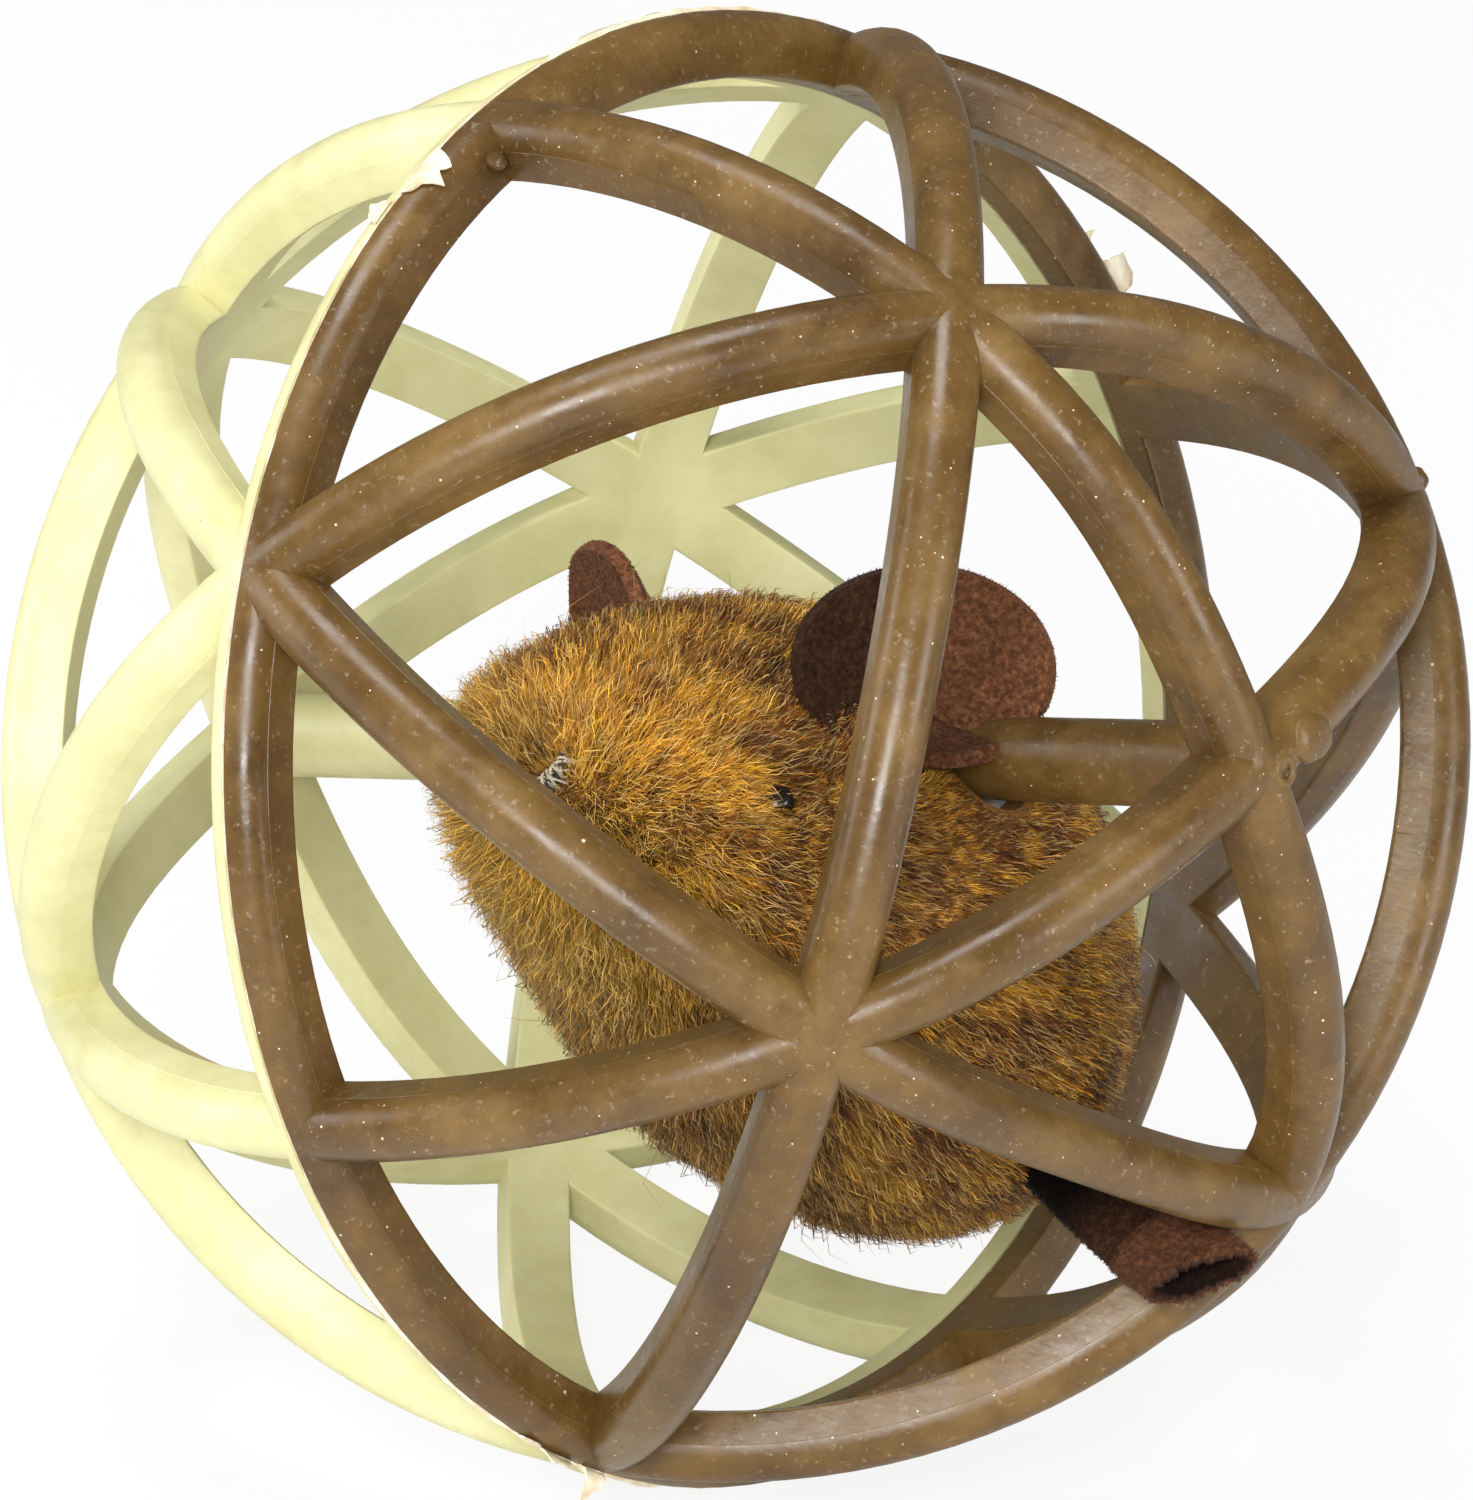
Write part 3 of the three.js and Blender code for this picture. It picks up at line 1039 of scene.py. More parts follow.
@dataclass
class SeamGlue:
    """The glue between the rims, with what squeezed out and the flakes that stand off it."""

    middle: float = 47.8
    half_depth: float = 2.12
    half_width: float = 0.11
    smear_width: float = 0.75
    crust_reach: float = 7.0
    flake_thickness: float = 0.14
    ring_points: int = 900
    section_points: int = 14
    ragged_angles: tuple[float, ...] = (10.0, 104.0, 122.0, 136.0, 186.0, 224.0, 282.0, 336.0, 348.0)
    rim_side: float = 2.25
    rim_crown: float = 2.0
    rim_foot: float = 48.0
    flakes: tuple[Flake, ...] = (
        Flake(9.0, 4.6, 1.7, 6.0, 0.1),
        Flake(13.8, 2.0, 1.0, 26.0, -0.1),
        Flake(126.0, 2.4, 0.8, 12.0, 0.1),
        Flake(129.0, 3.4, 1.3, 35.0, 0.1),
        Flake(133.5, 2.4, 1.6, 60.0, 0.2),
        Flake(184.0, 4.0, 1.8, 12.0, 0.2),
        Flake(188.5, 3.0, 1.4, 20.0, 0.2),
        Flake(222.0, 2.4, 1.2, 20.0, 0.3),
        Flake(279.5, 3.2, 2.4, 70.0, 0.3),
        Flake(283.0, 2.2, 1.6, 55.0, -0.2),
        Flake(338.0, 4.0, 0.8, 10.0, -0.2),
        Flake(345.0, 5.0, 1.0, 8.0, -0.2),
    )

    def bead(self) -> Piece:
        """Makes the ring of glue, ragged where it squeezed out.

        Returns:
            The ring.
        """
        piece, points = fresh(
            "glue_bead",
            bpy.ops.mesh.primitive_torus_add,
            major_segments=self.ring_points,
            minor_segments=self.section_points,
            major_radius=2.0,
            minor_radius=1.0,
        )
        angle = np.arctan2(points[:, 1], points[:, 0])
        out = np.hypot(points[:, 0], points[:, 1]) - 2.0
        across = points[:, 2]
        ring = np.stack((np.cos(angle), np.sin(angle), np.zeros_like(angle)), axis=1) * 50.0
        ragged = blotches(ring, 2.6, 1.7) + 0.7 * blotches(ring, 0.9, 8.3)
        wide = blotches(ring, 9.0, 4.9)
        turn = np.degrees(angle) % 360.0
        crust = sum(np.exp(-(((turn - middle) / self.crust_reach) ** 2)) for middle in self.ragged_angles)
        smear = np.clip(0.1 + 0.5 * ragged + 0.4 * wide + 0.7 * crust, 0.0, 1.4) * self.smear_width
        outside = share_of(out, 0.75, 1.0)
        lift = np.clip(0.22 * ragged + 0.08 + 0.2 * crust, -0.05, 0.5) * outside
        radius = self.middle + self.half_depth * out + lift
        shift = 0.3 * wide * outside
        side = across * self.half_width + np.sign(across) * smear * outside * np.abs(across) + shift
        local = np.stack((side, radius * np.cos(angle), radius * np.sin(angle)), axis=1)
        reshape(piece, placed(local, BALL))
        return tidy_mesh(piece)

    def flake(self, scrap: Flake, seed: float) -> Piece:
        """Makes one thin torn scrap.

        Args:
            scrap: Its place and size.
            seed: Makes its tear differ from the others'.

        Returns:
            The scrap.
        """
        grid = bpy.ops.mesh.primitive_grid_add
        piece, points = fresh("flake", grid, x_subdivisions=12, y_subdivisions=8, size=1.0)
        along = points[:, 0]
        across = points[:, 1] + 0.5
        tear = 1.0 + 0.5 * blotches(np.stack((along * 4.0, across * 0.2, along * 0.0), axis=1), 0.8, seed)
        reach = across * tear * (1.0 - (2.0 * np.abs(along)) ** 3)
        lean = math.radians(scrap.lean)
        curl = lean * (0.4 + 0.9 * reach)
        outwards = scrap.width * reach * np.sin(curl)
        sideways = scrap.width * reach * np.cos(curl) * (1.0 if scrap.side >= 0.0 else -1.0)
        side = scrap.side + sideways
        rounded = np.sqrt(1.0 - np.clip(np.abs(side) / self.rim_side, 0.0, 1.0) ** 2)
        radius = self.rim_foot + self.rim_crown * rounded + outwards + 0.1
        radius = radius + 0.08 * blotches(points * 3.0, 1.0, seed + 2.0)
        angle = math.radians(scrap.angle) + along * scrap.length / self.middle
        local = np.stack((side, radius * np.cos(angle), radius * np.sin(angle)), axis=1)
        reshape(piece, placed(local, BALL))
        return tidy_mesh(thicken(piece, self.flake_thickness, 0.0))

    def build(self) -> tuple[Piece, Piece]:
        """Makes the glue.

        Returns:
            The ring and the loose flakes.
        """
        ring = smooth(self.bead(), 60.0)
        scraps = [self.flake(scrap, 1.3 * count) for count, scrap in enumerate(self.flakes)]
        return ring, smooth(joined("glue_flakes", scraps), 50.0)


@dataclass(frozen=True)
class Spot:
    """A place on the plush: the share of the way from rump to nose, and the angle up from the left."""

    along: float
    around: float


LEFT_EYE = Spot(0.873, 16.0)
RIGHT_EYE = Spot(0.962, 95.0)
NOSE = Spot(0.984, -40.0)


@dataclass(frozen=True)
class Dip:
    """A line over the plush where stitches draw it in, in millimetres."""

    start: Spot
    end: Spot
    depth: float
    reach: float


@dataclass(frozen=True)
class PlushShape:
    """The swelling form of the stuffed mouse, in its own axes and millimetres."""

    back: float = 27.5
    front: float = 26.4
    half_width: float = 22.8
    half_height: float = 18.0
    taper: float = 1.03
    bluntness: float = 0.5
    nose_droop: float = 10.8
    belly_depth: float = 7.0
    belly_slope: float = 17.0
    groove_depth: float = 0.45
    groove_reach: float = 1.1
    dips: tuple[Dip, ...] = (
        Dip(LEFT_EYE, LEFT_EYE, 1.7, 2.2),
        Dip(Spot(0.866, 36.0), Spot(0.805, -10.0), 1.2, 1.9),
        Dip(RIGHT_EYE, RIGHT_EYE, 1.0, 2.0),
        Dip(Spot(0.98, -60.0), Spot(0.99, 0.0), 0.5, 2.0),
    )

    def bare(self, along: Array, around: Array, inset: float = 0.0) -> Array:
        """Gives points of the plain form.

        Args:
            along: Shares of the way from rump to nose.
            around: Angles up from the left side, in radians.
            inset: How far inside the surface they lie.

        Returns:
            Rows of points.
        """
        swell = np.clip(np.sin(np.pi * along**self.taper), 0.0, None) ** self.bluntness
        onward = (inset - self.back) * (1.0 - along) + (self.front - inset) * along
        droop = self.nose_droop * (np.clip(onward, 0.0, None) / self.front) ** 2
        left = (self.half_width - inset) * swell * np.cos(around)
        up = (self.half_height - inset) * swell * np.sin(around) - droop
        return np.stack((onward, left, up), axis=-1)

    def place(self, spot: Spot) -> Array:
        """Gives a spot's place on the plain form."""
        return self.bare(np.array([spot.along]), np.array([math.radians(spot.around)]))[0]

    def over_belly(self, points: Array) -> Array:
        """Gives how far points lie above the belly's seam."""
        slope = math.radians(self.belly_slope)
        return points[:, 0] * math.sin(slope) + (points[:, 2] + self.belly_depth) * math.cos(slope)

    def drawn_in(self, points: Array) -> Array:
        """Gives how far stitches and seams draw the surface in at each point."""
        depth = np.zeros(len(points))
        for dip in self.dips:
            start = self.place(dip.start)
            run = self.place(dip.end) - start
            share = np.clip((points - start) @ run / max(run @ run, 1e-9), 0.0, 1.0)
            away = np.linalg.norm(points - start - share[:, None] * run, axis=1)
            depth += dip.depth * np.exp(-((away / dip.reach) ** 2))
        above = self.over_belly(points)
        seams = np.where(above > 0.0, np.minimum(np.abs(points[:, 1]), above), np.abs(above))
        return depth + self.groove_depth * np.exp(-((seams / self.groove_reach) ** 2))

    def from_spot(self, points: Array, spot: Spot) -> Array:
        """Gives how far points lie from a spot."""
        return np.linalg.norm(points - self.place(spot), axis=1)

    def steepness(self, form: Callable[[Array, Array], Array], along: Array, around: Array) -> Array:
        """Gives the outward direction of a form at each place on it."""
        step = 1e-3
        before = np.clip(along - step, 1e-5, 1.0 - 1e-5)
        after = np.clip(along + step, 1e-5, 1.0 - 1e-5)
        onward = form(after, around) - form(before, around)
        sideways = form(along, around + step) - form(along, around - step)
        return unit(np.cross(sideways, onward))

    def surface(self, along: Array, around: Array) -> Array:
        """Gives points of the form with its dips and seams."""
        along = np.clip(along, 1e-4, 1.0 - 1e-4)
        points = self.bare(along, around)
        return points - self.steepness(self.bare, along, around) * self.drawn_in(points)[:, None]

    def outward(self, along: Array, around: Array) -> Array:
        """Gives the outward direction of the form with its dips."""
        return self.steepness(self.surface, np.clip(along, 2e-3, 1.0 - 2e-3), around)

    def seat(self, spot: Spot) -> tuple[Vector, Vector]:
        """Gives a spot's place and outward direction on the plain form."""
        along = np.array([spot.along])
        around = np.array([math.radians(spot.around)])
        return Vector(self.place(spot)), Vector(self.steepness(self.bare, along, around)[0])


class Panel(Enum):
    """The three cut panels of the plush cover, by the solid that each stands for."""

    LEFT = "left_side_panel"
    RIGHT = "right_side_panel"
    BELLY = "belly_panel"


@dataclass
class PlushCover:
    """The sewn cover of the mouse: three thick panels round the filling, in millimetres."""

    shape: PlushShape
    thickness: float = 1.4
    passage: float = 3.45
    rod_length: float = 110.0
    seam_gap: float = 0.06
    segments: int = 128
    rings: int = 80

    def passage_rod(self) -> Piece:
        """Makes the rod that clears the axle's way through the plush."""
        sizes = {"vertices": 48, "radius": self.passage * MM, "depth": self.rod_length * MM}
        rod, _ = fresh("passage", bpy.ops.mesh.primitive_cylinder_add, **sizes)
        return pointed(rod, ball_turn() @ AXLE)

    def skin(self) -> Piece:
        """Shapes a sphere into the mouse's skin.

        Returns:
            The closed skin.
        """
        ball = bpy.ops.mesh.primitive_uv_sphere_add
        piece, points = fresh("skin", ball, segments=self.segments, ring_count=self.rings, radius=1.0)
        along = np.clip((1.0 + points[:, 2]) / 2.0, 0.0, 1.0)
        around = np.arctan2(points[:, 1], points[:, 0])
        reshape(piece, placed(self.shape.surface(along, around), MOUSE))
        return tidy_mesh(piece)

    def cut(self, piece: Piece, point: Vector, away: Vector) -> None:
        """Cuts off what lies beyond a plane, in the mouse's axes.

        Args:
            piece: The open or closed skin.
            point: A point on the plane.
            away: The way to what goes.
        """
        edit_all(piece)
        normal = (MOUSE.to_3x3() @ away).normalized()
        bpy.ops.mesh.bisect(plane_co=MOUSE @ point, plane_no=normal, use_fill=False, clear_outer=True)
        bpy.ops.object.mode_set(mode="OBJECT")

    def panel(self, skin: Piece, panel: Panel) -> Piece:
        """Cuts one panel from the skin and gives it its thickness.

        Args:
            skin: The whole skin.
            panel: Which panel.

        Returns:
            The panel.
        """
        slope = math.radians(self.shape.belly_slope)
        upward = Vector((math.sin(slope), 0.0, math.cos(slope)))
        seam = Vector((0.0, 0.0, -self.shape.belly_depth))
        gap = self.seam_gap
        piece = copy_of(skin, panel.value.replace("_panel", "_cover"))
        if panel is Panel.BELLY:
            self.cut(piece, seam - upward * gap, upward)
        else:
            side = 1.0 if panel is Panel.LEFT else -1.0
            self.cut(piece, seam + upward * gap, -upward)
            self.cut(piece, Vector((0.0, side * gap, 0.0)), Vector((0.0, -side, 0.0)))
        thicken(piece, self.thickness, -1.0)
        combine(piece, self.passage_rod(), Way.CUT)
        return smooth(piece, 50.0)

    def build(self) -> dict[Panel, Piece]:
        """Makes the three panels.

        Returns:
            The panels by name.
        """
        skin = self.skin()
        panels = {panel: self.panel(skin, panel) for panel in Panel}
        bpy.data.objects.remove(skin)
        return panels


@dataclass
class Strands:
    """Many fine pointed fibres, each a three-sided needle, straight or with one bend, in the part's frame."""

    roots: Array
    tips: Array
    widths: Array
    root_colours: Array
    tip_colours: Array
    bends: Array | None = None

    def spread(self, seed: int) -> Array:
        """Gives the three corners of each fibre's section.

        Args:
            seed: Seeds the fibres' turns.

        Returns:
            Three offsets from the fibre's middle line, a fibre.
        """
        aside = np.random.default_rng(seed).normal(size=self.roots.shape)
        way = unit(self.tips - self.roots)
        first = unit(np.cross(way, aside))
        second = np.cross(way, first)
        turns = (np.arange(3) * math.tau / 3.0)[None, :, None]
        corners = first[:, None] * np.cos(turns) + second[:, None] * np.sin(turns)
        return corners * self.widths[:, None, None] / 2.0

    def piece(self, name: str, seed: int) -> Piece:
        """Makes the fibres one mesh, with their colours and a map that gives each its own place.

        Args:
            name: The piece's name.
            seed: Seeds the fibres' turns.

        Returns:
            The piece.
        """
        count = len(self.roots)
        spread = self.spread(seed)
        rings = [self.roots[:, None] + spread]
        faces = [(0, 1, 3), (1, 2, 3), (2, 0, 3), (2, 1, 0)]
        if self.bends is not None:
            rings.append(self.bends[:, None] + 0.85 * spread)
            faces = [(0, 1, 4, 3), (1, 2, 5, 4), (2, 0, 3, 5), (3, 4, 6), (4, 5, 6), (5, 3, 6), (2, 1, 0)]
        points = np.concatenate((*rings, self.tips[:, None]), axis=1)
        pattern = np.array([corner for face in faces for corner in face])
        corners = (np.arange(count)[:, None] * points.shape[1] + pattern).ravel()
        totals = np.tile(np.array([len(face) for face in faces]), count)
        starts = np.concatenate(([0], np.cumsum(totals)[:-1]))
        mesh = bpy.data.meshes.new(name)
        mesh.vertices.add(points.shape[0] * points.shape[1])
        mesh.vertices.foreach_set("co", points.astype(np.float32).ravel())
        mesh.loops.add(len(corners))
        mesh.loops.foreach_set("vertex_index", corners.astype(np.int32))
        mesh.polygons.add(len(totals))
        mesh.polygons.foreach_set("loop_start", starts.astype(np.int32))
        mesh.polygons.foreach_set("loop_total", totals.astype(np.int32))
        mesh.polygons.foreach_set("use_smooth", np.ones(len(totals), dtype=bool))
        mesh.update(calc_edges=True)
        self.colour(mesh)
        self.lay_out(mesh, count)
        piece = bpy.data.objects.new(name, mesh)
        bpy.context.scene.collection.objects.link(piece)
        return piece

    def colour(self, mesh: bpy.types.Mesh) -> None:
        """Stores the fibres' colours, from root to tip, in the mesh."""
        rows = [self.root_colours] * 3
        if self.bends is not None:
            rows += [0.5 * self.root_colours + 0.5 * self.tip_colours] * 3
        colours = np.stack((*rows, self.tip_colours), axis=1).reshape(-1, 3)
        colours = np.concatenate((colours, np.ones((len(colours), 1))), axis=1)
        layer = mesh.color_attributes.new(STRAND_COLOUR, "FLOAT_COLOR", "POINT")
        layer.data.foreach_set("color", np.clip(colours, 0.0, 1.0).astype(np.float32).ravel())

    def lay_out(self, mesh: bpy.types.Mesh, count: int) -> None:
        """Gives each fibre a cell of the map, root at the bottom and tip at the top.

        Args:
            mesh: The fibres' mesh.
            count: How many fibres there are.
        """
        across = math.ceil(math.sqrt(count))
        cell = np.stack((np.arange(count) % across, np.arange(count) // across), axis=1)
        sides = [(0.08 + 0.28 * side, 0.36 + 0.28 * side) for side in range(3)]
        foot = 0.08
        spots = []
        if self.bends is not None:
            for left, right in sides:
                spots += [(left, foot), (right, foot), (right, 0.5), (left, 0.5)]
            foot = 0.5
        for left, right in sides:
            spots += [(left, foot), (right, foot), ((left + right) / 2, 0.92)]
        spots += [(0.92, 0.04), (0.5, 0.04), (0.08, 0.04)]
        places = (cell[:, None, :] + np.array(spots)[None]) / across
        layer = mesh.uv_layers.new(name=STRAND_MAP)
        layer.uv.foreach_set("vector", places.astype(np.float32).ravel())


@dataclass(frozen=True)
class PileLayer:
    """One layer of the pile: how many strands a panel has and how they stand, in millimetres and degrees."""

    name: str
    each: int
    bent: bool
    length: float
    snout_length: float
    width: float
    upright: float
    flat: float
    pale_share: float
    root_light: float
    seed: int


@dataclass(frozen=True)
class Mottle:
    """Blotches of light and dark: how strong, how large in millimetres, and where the pattern starts."""

    strength: float
    size: float
    shift: float

    def at(self, points: Array) -> Array:
        """Gives the blotches at each point."""
        return self.strength * blotches(points, self.size, self.shift)


@dataclass
class PileCoat:
    """The pile of the plush: strands that lie away from the nose, in clumps, in millimetres."""

    shape: PlushShape
    ears: Sequence["Ear"]
    layers: tuple[PileLayer, ...] = (
        PileLayer(
            "under_pile", each=46000, bent=False, length=1.4, snout_length=1.5, width=0.12,
            upright=48.0, flat=58.0, pale_share=0.02, root_light=0.3, seed=11,
        ),
        PileLayer(
            "fine_pile", each=34000, bent=False, length=2.0, snout_length=2.2, width=0.075,
            upright=50.0, flat=62.0, pale_share=0.14, root_light=0.5, seed=21,
        ),
        PileLayer(
            "pile", each=19000, bent=True, length=2.2, snout_length=2.5, width=0.085,
            upright=50.0, flat=62.0, pale_share=0.45, root_light=0.6, seed=31,
        ),
        PileLayer(
            "stray_hair", each=26, bent=True, length=5.5, snout_length=4.5, width=0.05,
            upright=25.0, flat=45.0, pale_share=1.0, root_light=1.0, seed=51,
        ),
    )
    mottling: tuple[Mottle, ...] = (Mottle(1.0, 4.6, 2.0), Mottle(1.0, 1.3, 7.0), Mottle(0.8, 0.6, 13.0))
    tuft_shade: Mottle = Mottle(1.7, 0.5, 11.0)
    snout_reach: float = 9.0
    flank_reach: float = 22.0
    clump_share: float = 0.12
    clump_pull: float = 0.4
    axle_clearance: float = 3.75
    eye_clearance: float = 0.95
    tuft_reach: float = 7.0
    spare_places: float = 3.6
    root_depth: float = 0.25
    lean_spread: float = 10.0
    trodden_lift: float = 22.0
    lean_limits: tuple[float, float] = (5.0, 74.0)
    grid_steps: int = 260
    dark: Rgba = tint(74, 42, 12)
    rust: Rgba = tint(104, 54, 20)
    amber: Rgba = tint(168, 106, 22)
    gold: Rgba = tint(220, 160, 46)
    pale: Rgba = tint(252, 216, 136)
    olive: Rgba = tint(184, 146, 44)

    def places(self, count: int, rng: np.random.Generator) -> tuple[Array, Array]:
        """Draws places evenly over the skin.

        Args:
            count: How many.
            rng: The source of chance.

        Returns:
            The places as shares along and angles around.
        """
        steps = self.grid_steps
        step = 1e-3
        bare = self.shape.bare
        edges = 0.5 - 0.5 * np.cos(np.pi * np.arange(steps + 1) / steps)
        middles = (edges[:-1] + edges[1:]) / 2.0
        turns = (np.arange(steps) + 0.5) * math.tau / steps
        along, around = (grid.ravel() for grid in np.meshgrid(middles, turns, indexing="ij"))
        wide = np.repeat(np.diff(edges), steps)
        near = np.clip(along - step, 1e-5, 1.0)
        far = np.clip(along + step, 0.0, 1.0 - 1e-5)
        onward = (bare(far, around) - bare(near, around)) / (far - near)[:, None]
        sideways = (bare(along, around + step) - bare(along, around - step)) / (2.0 * step)
        area = np.linalg.norm(np.cross(onward, sideways), axis=1) * wide
        chosen = rng.choice(len(area), size=count, p=area / area.sum())
        along = along[chosen] + (rng.random(count) - 0.5) * wide[chosen]
        around = around[chosen] + (rng.random(count) - 0.5) * math.tau / steps
        return along, around

    def clumped(self, roots: Array, tips: Array, rng: np.random.Generator) -> Array:
        """Draws the tips of neighbouring strands together.

        Args:
            roots: The strands' roots.
            tips: The strands' tips.
            rng: The source of chance.

        Returns:
            The tips, drawn together.
        """
        middles = max(int(len(roots) * self.clump_share), 1)
        tree = KDTree(middles)
        for index in range(middles):
            tree.insert(Vector(roots[index]), index)
        tree.balance()
        nearest = np.array([tree.find(Vector(root))[1] for root in roots])
        pull = self.clump_pull * (0.4 + 1.2 * rng.random(len(roots)))
        return tips + pull[:, None] * (tips[nearest] - tips)

    def colours(self, roots: Array, layer: PileLayer, rng: np.random.Generator) -> tuple[Array, Array]:
        """Chooses each strand's colours at root and tip.

        Args:
            roots: The strands' roots, in the mouse's axes.
            layer: The layer that they belong to.
            rng: The source of chance.

        Returns:
            The root colours and the tip colours.
        """
        dark, rust, amber, gold, pale, olive = (
            np.array(colour[:3])
            for colour in (self.dark, self.rust, self.amber, self.gold, self.pale, self.olive)
        )
        snout = np.clip(1.35 - self.shape.from_spot(roots, NOSE) / 15.0, 0.0, 1.0)
        fields = sum(mottle.at(roots) for mottle in self.mottling)
        golden = np.clip(0.42 + 1.1 * fields + 0.4 * snout + 0.28 * rng.normal(size=len(roots)), 0.0, 1.0)
        onward, _, upward = roots.T
        chin = share_of(upward, -8.0, -14.0) * share_of(onward, 4.0, 14.0)
        # Painted shade: the pile is darkened towards the underside, away from the snout.
        low = share_of(upward, -6.0, -15.0) * share_of(onward, 16.0, 4.0)
        tone = blended(rust, amber, np.clip(2.0 * golden, 0.0, 1.0))
        tone = blended(tone, gold, np.clip(2.0 * golden - 1.0, 0.0, 1.0))
        tone = blended(tone, olive, 0.6 * chin)
        # Painted shade: the pile is darkened in the dips and seams where stitches draw the cover in.
        painted_dip_shade = np.clip(self.shape.drawn_in(roots) / 1.5, 0.0, 1.0)
        tone = tone * (1.0 - 0.3 * low)[:, None] * (1.0 - 0.4 * painted_dip_shade)[:, None]
        shade = 1.05 + self.tuft_shade.at(roots) + 0.2 * rng.normal(size=len(roots))
        tone = tone * np.clip(shade, 0.3, 1.9)[:, None]
        lit = rng.random(len(roots)) < layer.pale_share
        tip = np.where(lit[:, None], 0.3 * tone + 0.7 * pale, tone)
        return blended(dark, tone, np.clip(layer.root_light + 0.35 * snout, 0.0, 1.0)), tip

    def shortened(self, roots: Array) -> tuple[Array, Array]:
        """Finds where the pile is trodden down: in front of the ears and round the nose and the eyes.

        Args:
            roots: The strands' roots, in the mouse's axes.

        Returns:
            The share of its length that each strand keeps, and how upright it stands.
        """
        keep = np.ones(len(roots))
        for ear in self.ears:
            middle, across, _, forward = ear.frame(self.shape)
            local = roots - middle
            front = local @ forward
            near = (front > -0.6) & (front < 4.2) & (np.abs(local @ across) < 0.56 * ear.width)
            keep = np.where(near, 0.42, keep)
        keep = np.minimum(keep, np.clip(0.45 + self.shape.from_spot(roots, NOSE) / 6.0, 0.45, 1.0))
        for eye in (LEFT_EYE, RIGHT_EYE):
            away = self.shape.from_spot(roots, eye)
            keep = np.minimum(keep, np.clip(0.55 + (away - 1.0) / 3.0, 0.5, 1.0))
        return keep, np.where(keep < 0.5, 1.0, 0.0)

    def strands(self, layer: PileLayer) -> dict[Panel, Strands]:
        """Grows one layer.

        Args:
            layer: The layer.

        Returns:
            Its strands by panel.
        """
        rng = np.random.default_rng(layer.seed)
        along, around = self.places(int(self.spare_places * layer.each), rng)
        roots = self.shape.surface(along, around)
        outward = self.shape.outward(along, around)
        away = roots - self.shape.place(NOSE)
        from_nose = np.linalg.norm(away, axis=1)
        in_ball = placed(roots, MOUSE_IN_BALL)
        from_axle = np.hypot(in_ball[:, 1], in_ball[:, 2])
        clear = from_axle > self.axle_clearance
        by_axle = share_of(from_axle, self.tuft_reach, self.tuft_reach - 3.0)
        tuft = np.where(in_ball[:, 0] < 0.0, by_axle, 0.0)
        out_along = -np.array(MOUSE_IN_BALL.to_3x3().inverted() @ AXLE)
        for eye in (LEFT_EYE, RIGHT_EYE):
            clear &= self.shape.from_spot(roots, eye) > self.eye_clearance
        keep, lift = self.shortened(roots)
        open_out = share_of(from_nose, self.snout_reach, self.flank_reach)
        nap = unit(along_skin(away, outward))
        stray = 0.6 - 0.35 * open_out
        swirl = np.stack([blotches(roots, 3.4, shift) for shift in (1.0, 5.0, 9.0)], axis=1)
        nap = nap + (0.55 - 0.3 * open_out)[:, None] * swirl + stray[:, None] * rng.normal(size=nap.shape)
        nap = unit(along_skin(nap, outward))
        lean = layer.upright + (layer.flat - layer.upright) * open_out
        lean = lean + self.lean_spread * rng.normal(size=len(roots))
        lean = np.radians(np.clip(lean - self.trodden_lift * lift, *self.lean_limits))
        size = layer.snout_length + (layer.length - layer.snout_length) * open_out
        below = share_of(roots[:, 2], -4.0, -12.0)
        behind = share_of(roots[:, 0], -6.0, -16.0)
        on_top = share_of(roots[:, 2], 6.0, 12.0)
        size = size * (1.0 + 0.35 * below - 0.2 * behind - 0.2 * on_top)
        size = size * keep * (0.7 + 0.6 * rng.random(len(roots))) * (1.0 + 1.2 * tuft - 0.5 * by_axle)
        grow = outward * np.cos(lean)[:, None] + nap * np.sin(lean)[:, None]
        grow = unit(grow + 0.9 * tuft[:, None] * out_along)
        tips = self.clumped(roots, roots + grow * size[:, None], rng)
        foot = roots - outward * self.root_depth
        bow = outward * (0.2 * size)[:, None] + 0.12 * rng.normal(size=roots.shape) * size[:, None]
        bends = 0.5 * (foot + tips) + bow
        colours = self.colours(roots, layer, rng)
        above = self.shape.over_belly(roots)
        members = {
            Panel.LEFT: clear & (above > 0.0) & (roots[:, 1] > 0.0),
            Panel.RIGHT: clear & (above > 0.0) & (roots[:, 1] <= 0.0),
            Panel.BELLY: clear & (above <= 0.0),
        }
        grown = {}
        for panel, member in members.items():
            chosen = np.flatnonzero(member)[: layer.each]
            chosen = chosen[np.lexsort((around[chosen], np.round(along[chosen] * 60.0)))]
            grown[panel] = Strands(
                placed(foot[chosen], MOUSE),
                placed(tips[chosen], MOUSE),
                layer.width * MM * (0.75 + 0.5 * rng.random(len(chosen))),
                colours[0][chosen],
                colours[1][chosen],
                placed(bends[chosen], MOUSE) if layer.bent else None,
            )
        return grown

    def build(self) -> list[Piece]:
        """Grows every layer of the pile on each panel.

        Returns:
            One piece a layer and panel.
        """
        coats = []
        for layer in self.layers:
            for panel, strands in self.strands(layer).items():
                name = panel.value.replace("panel", layer.name)
                coats.append(strands.piece(name, layer.seed + len(coats)))
        return coats


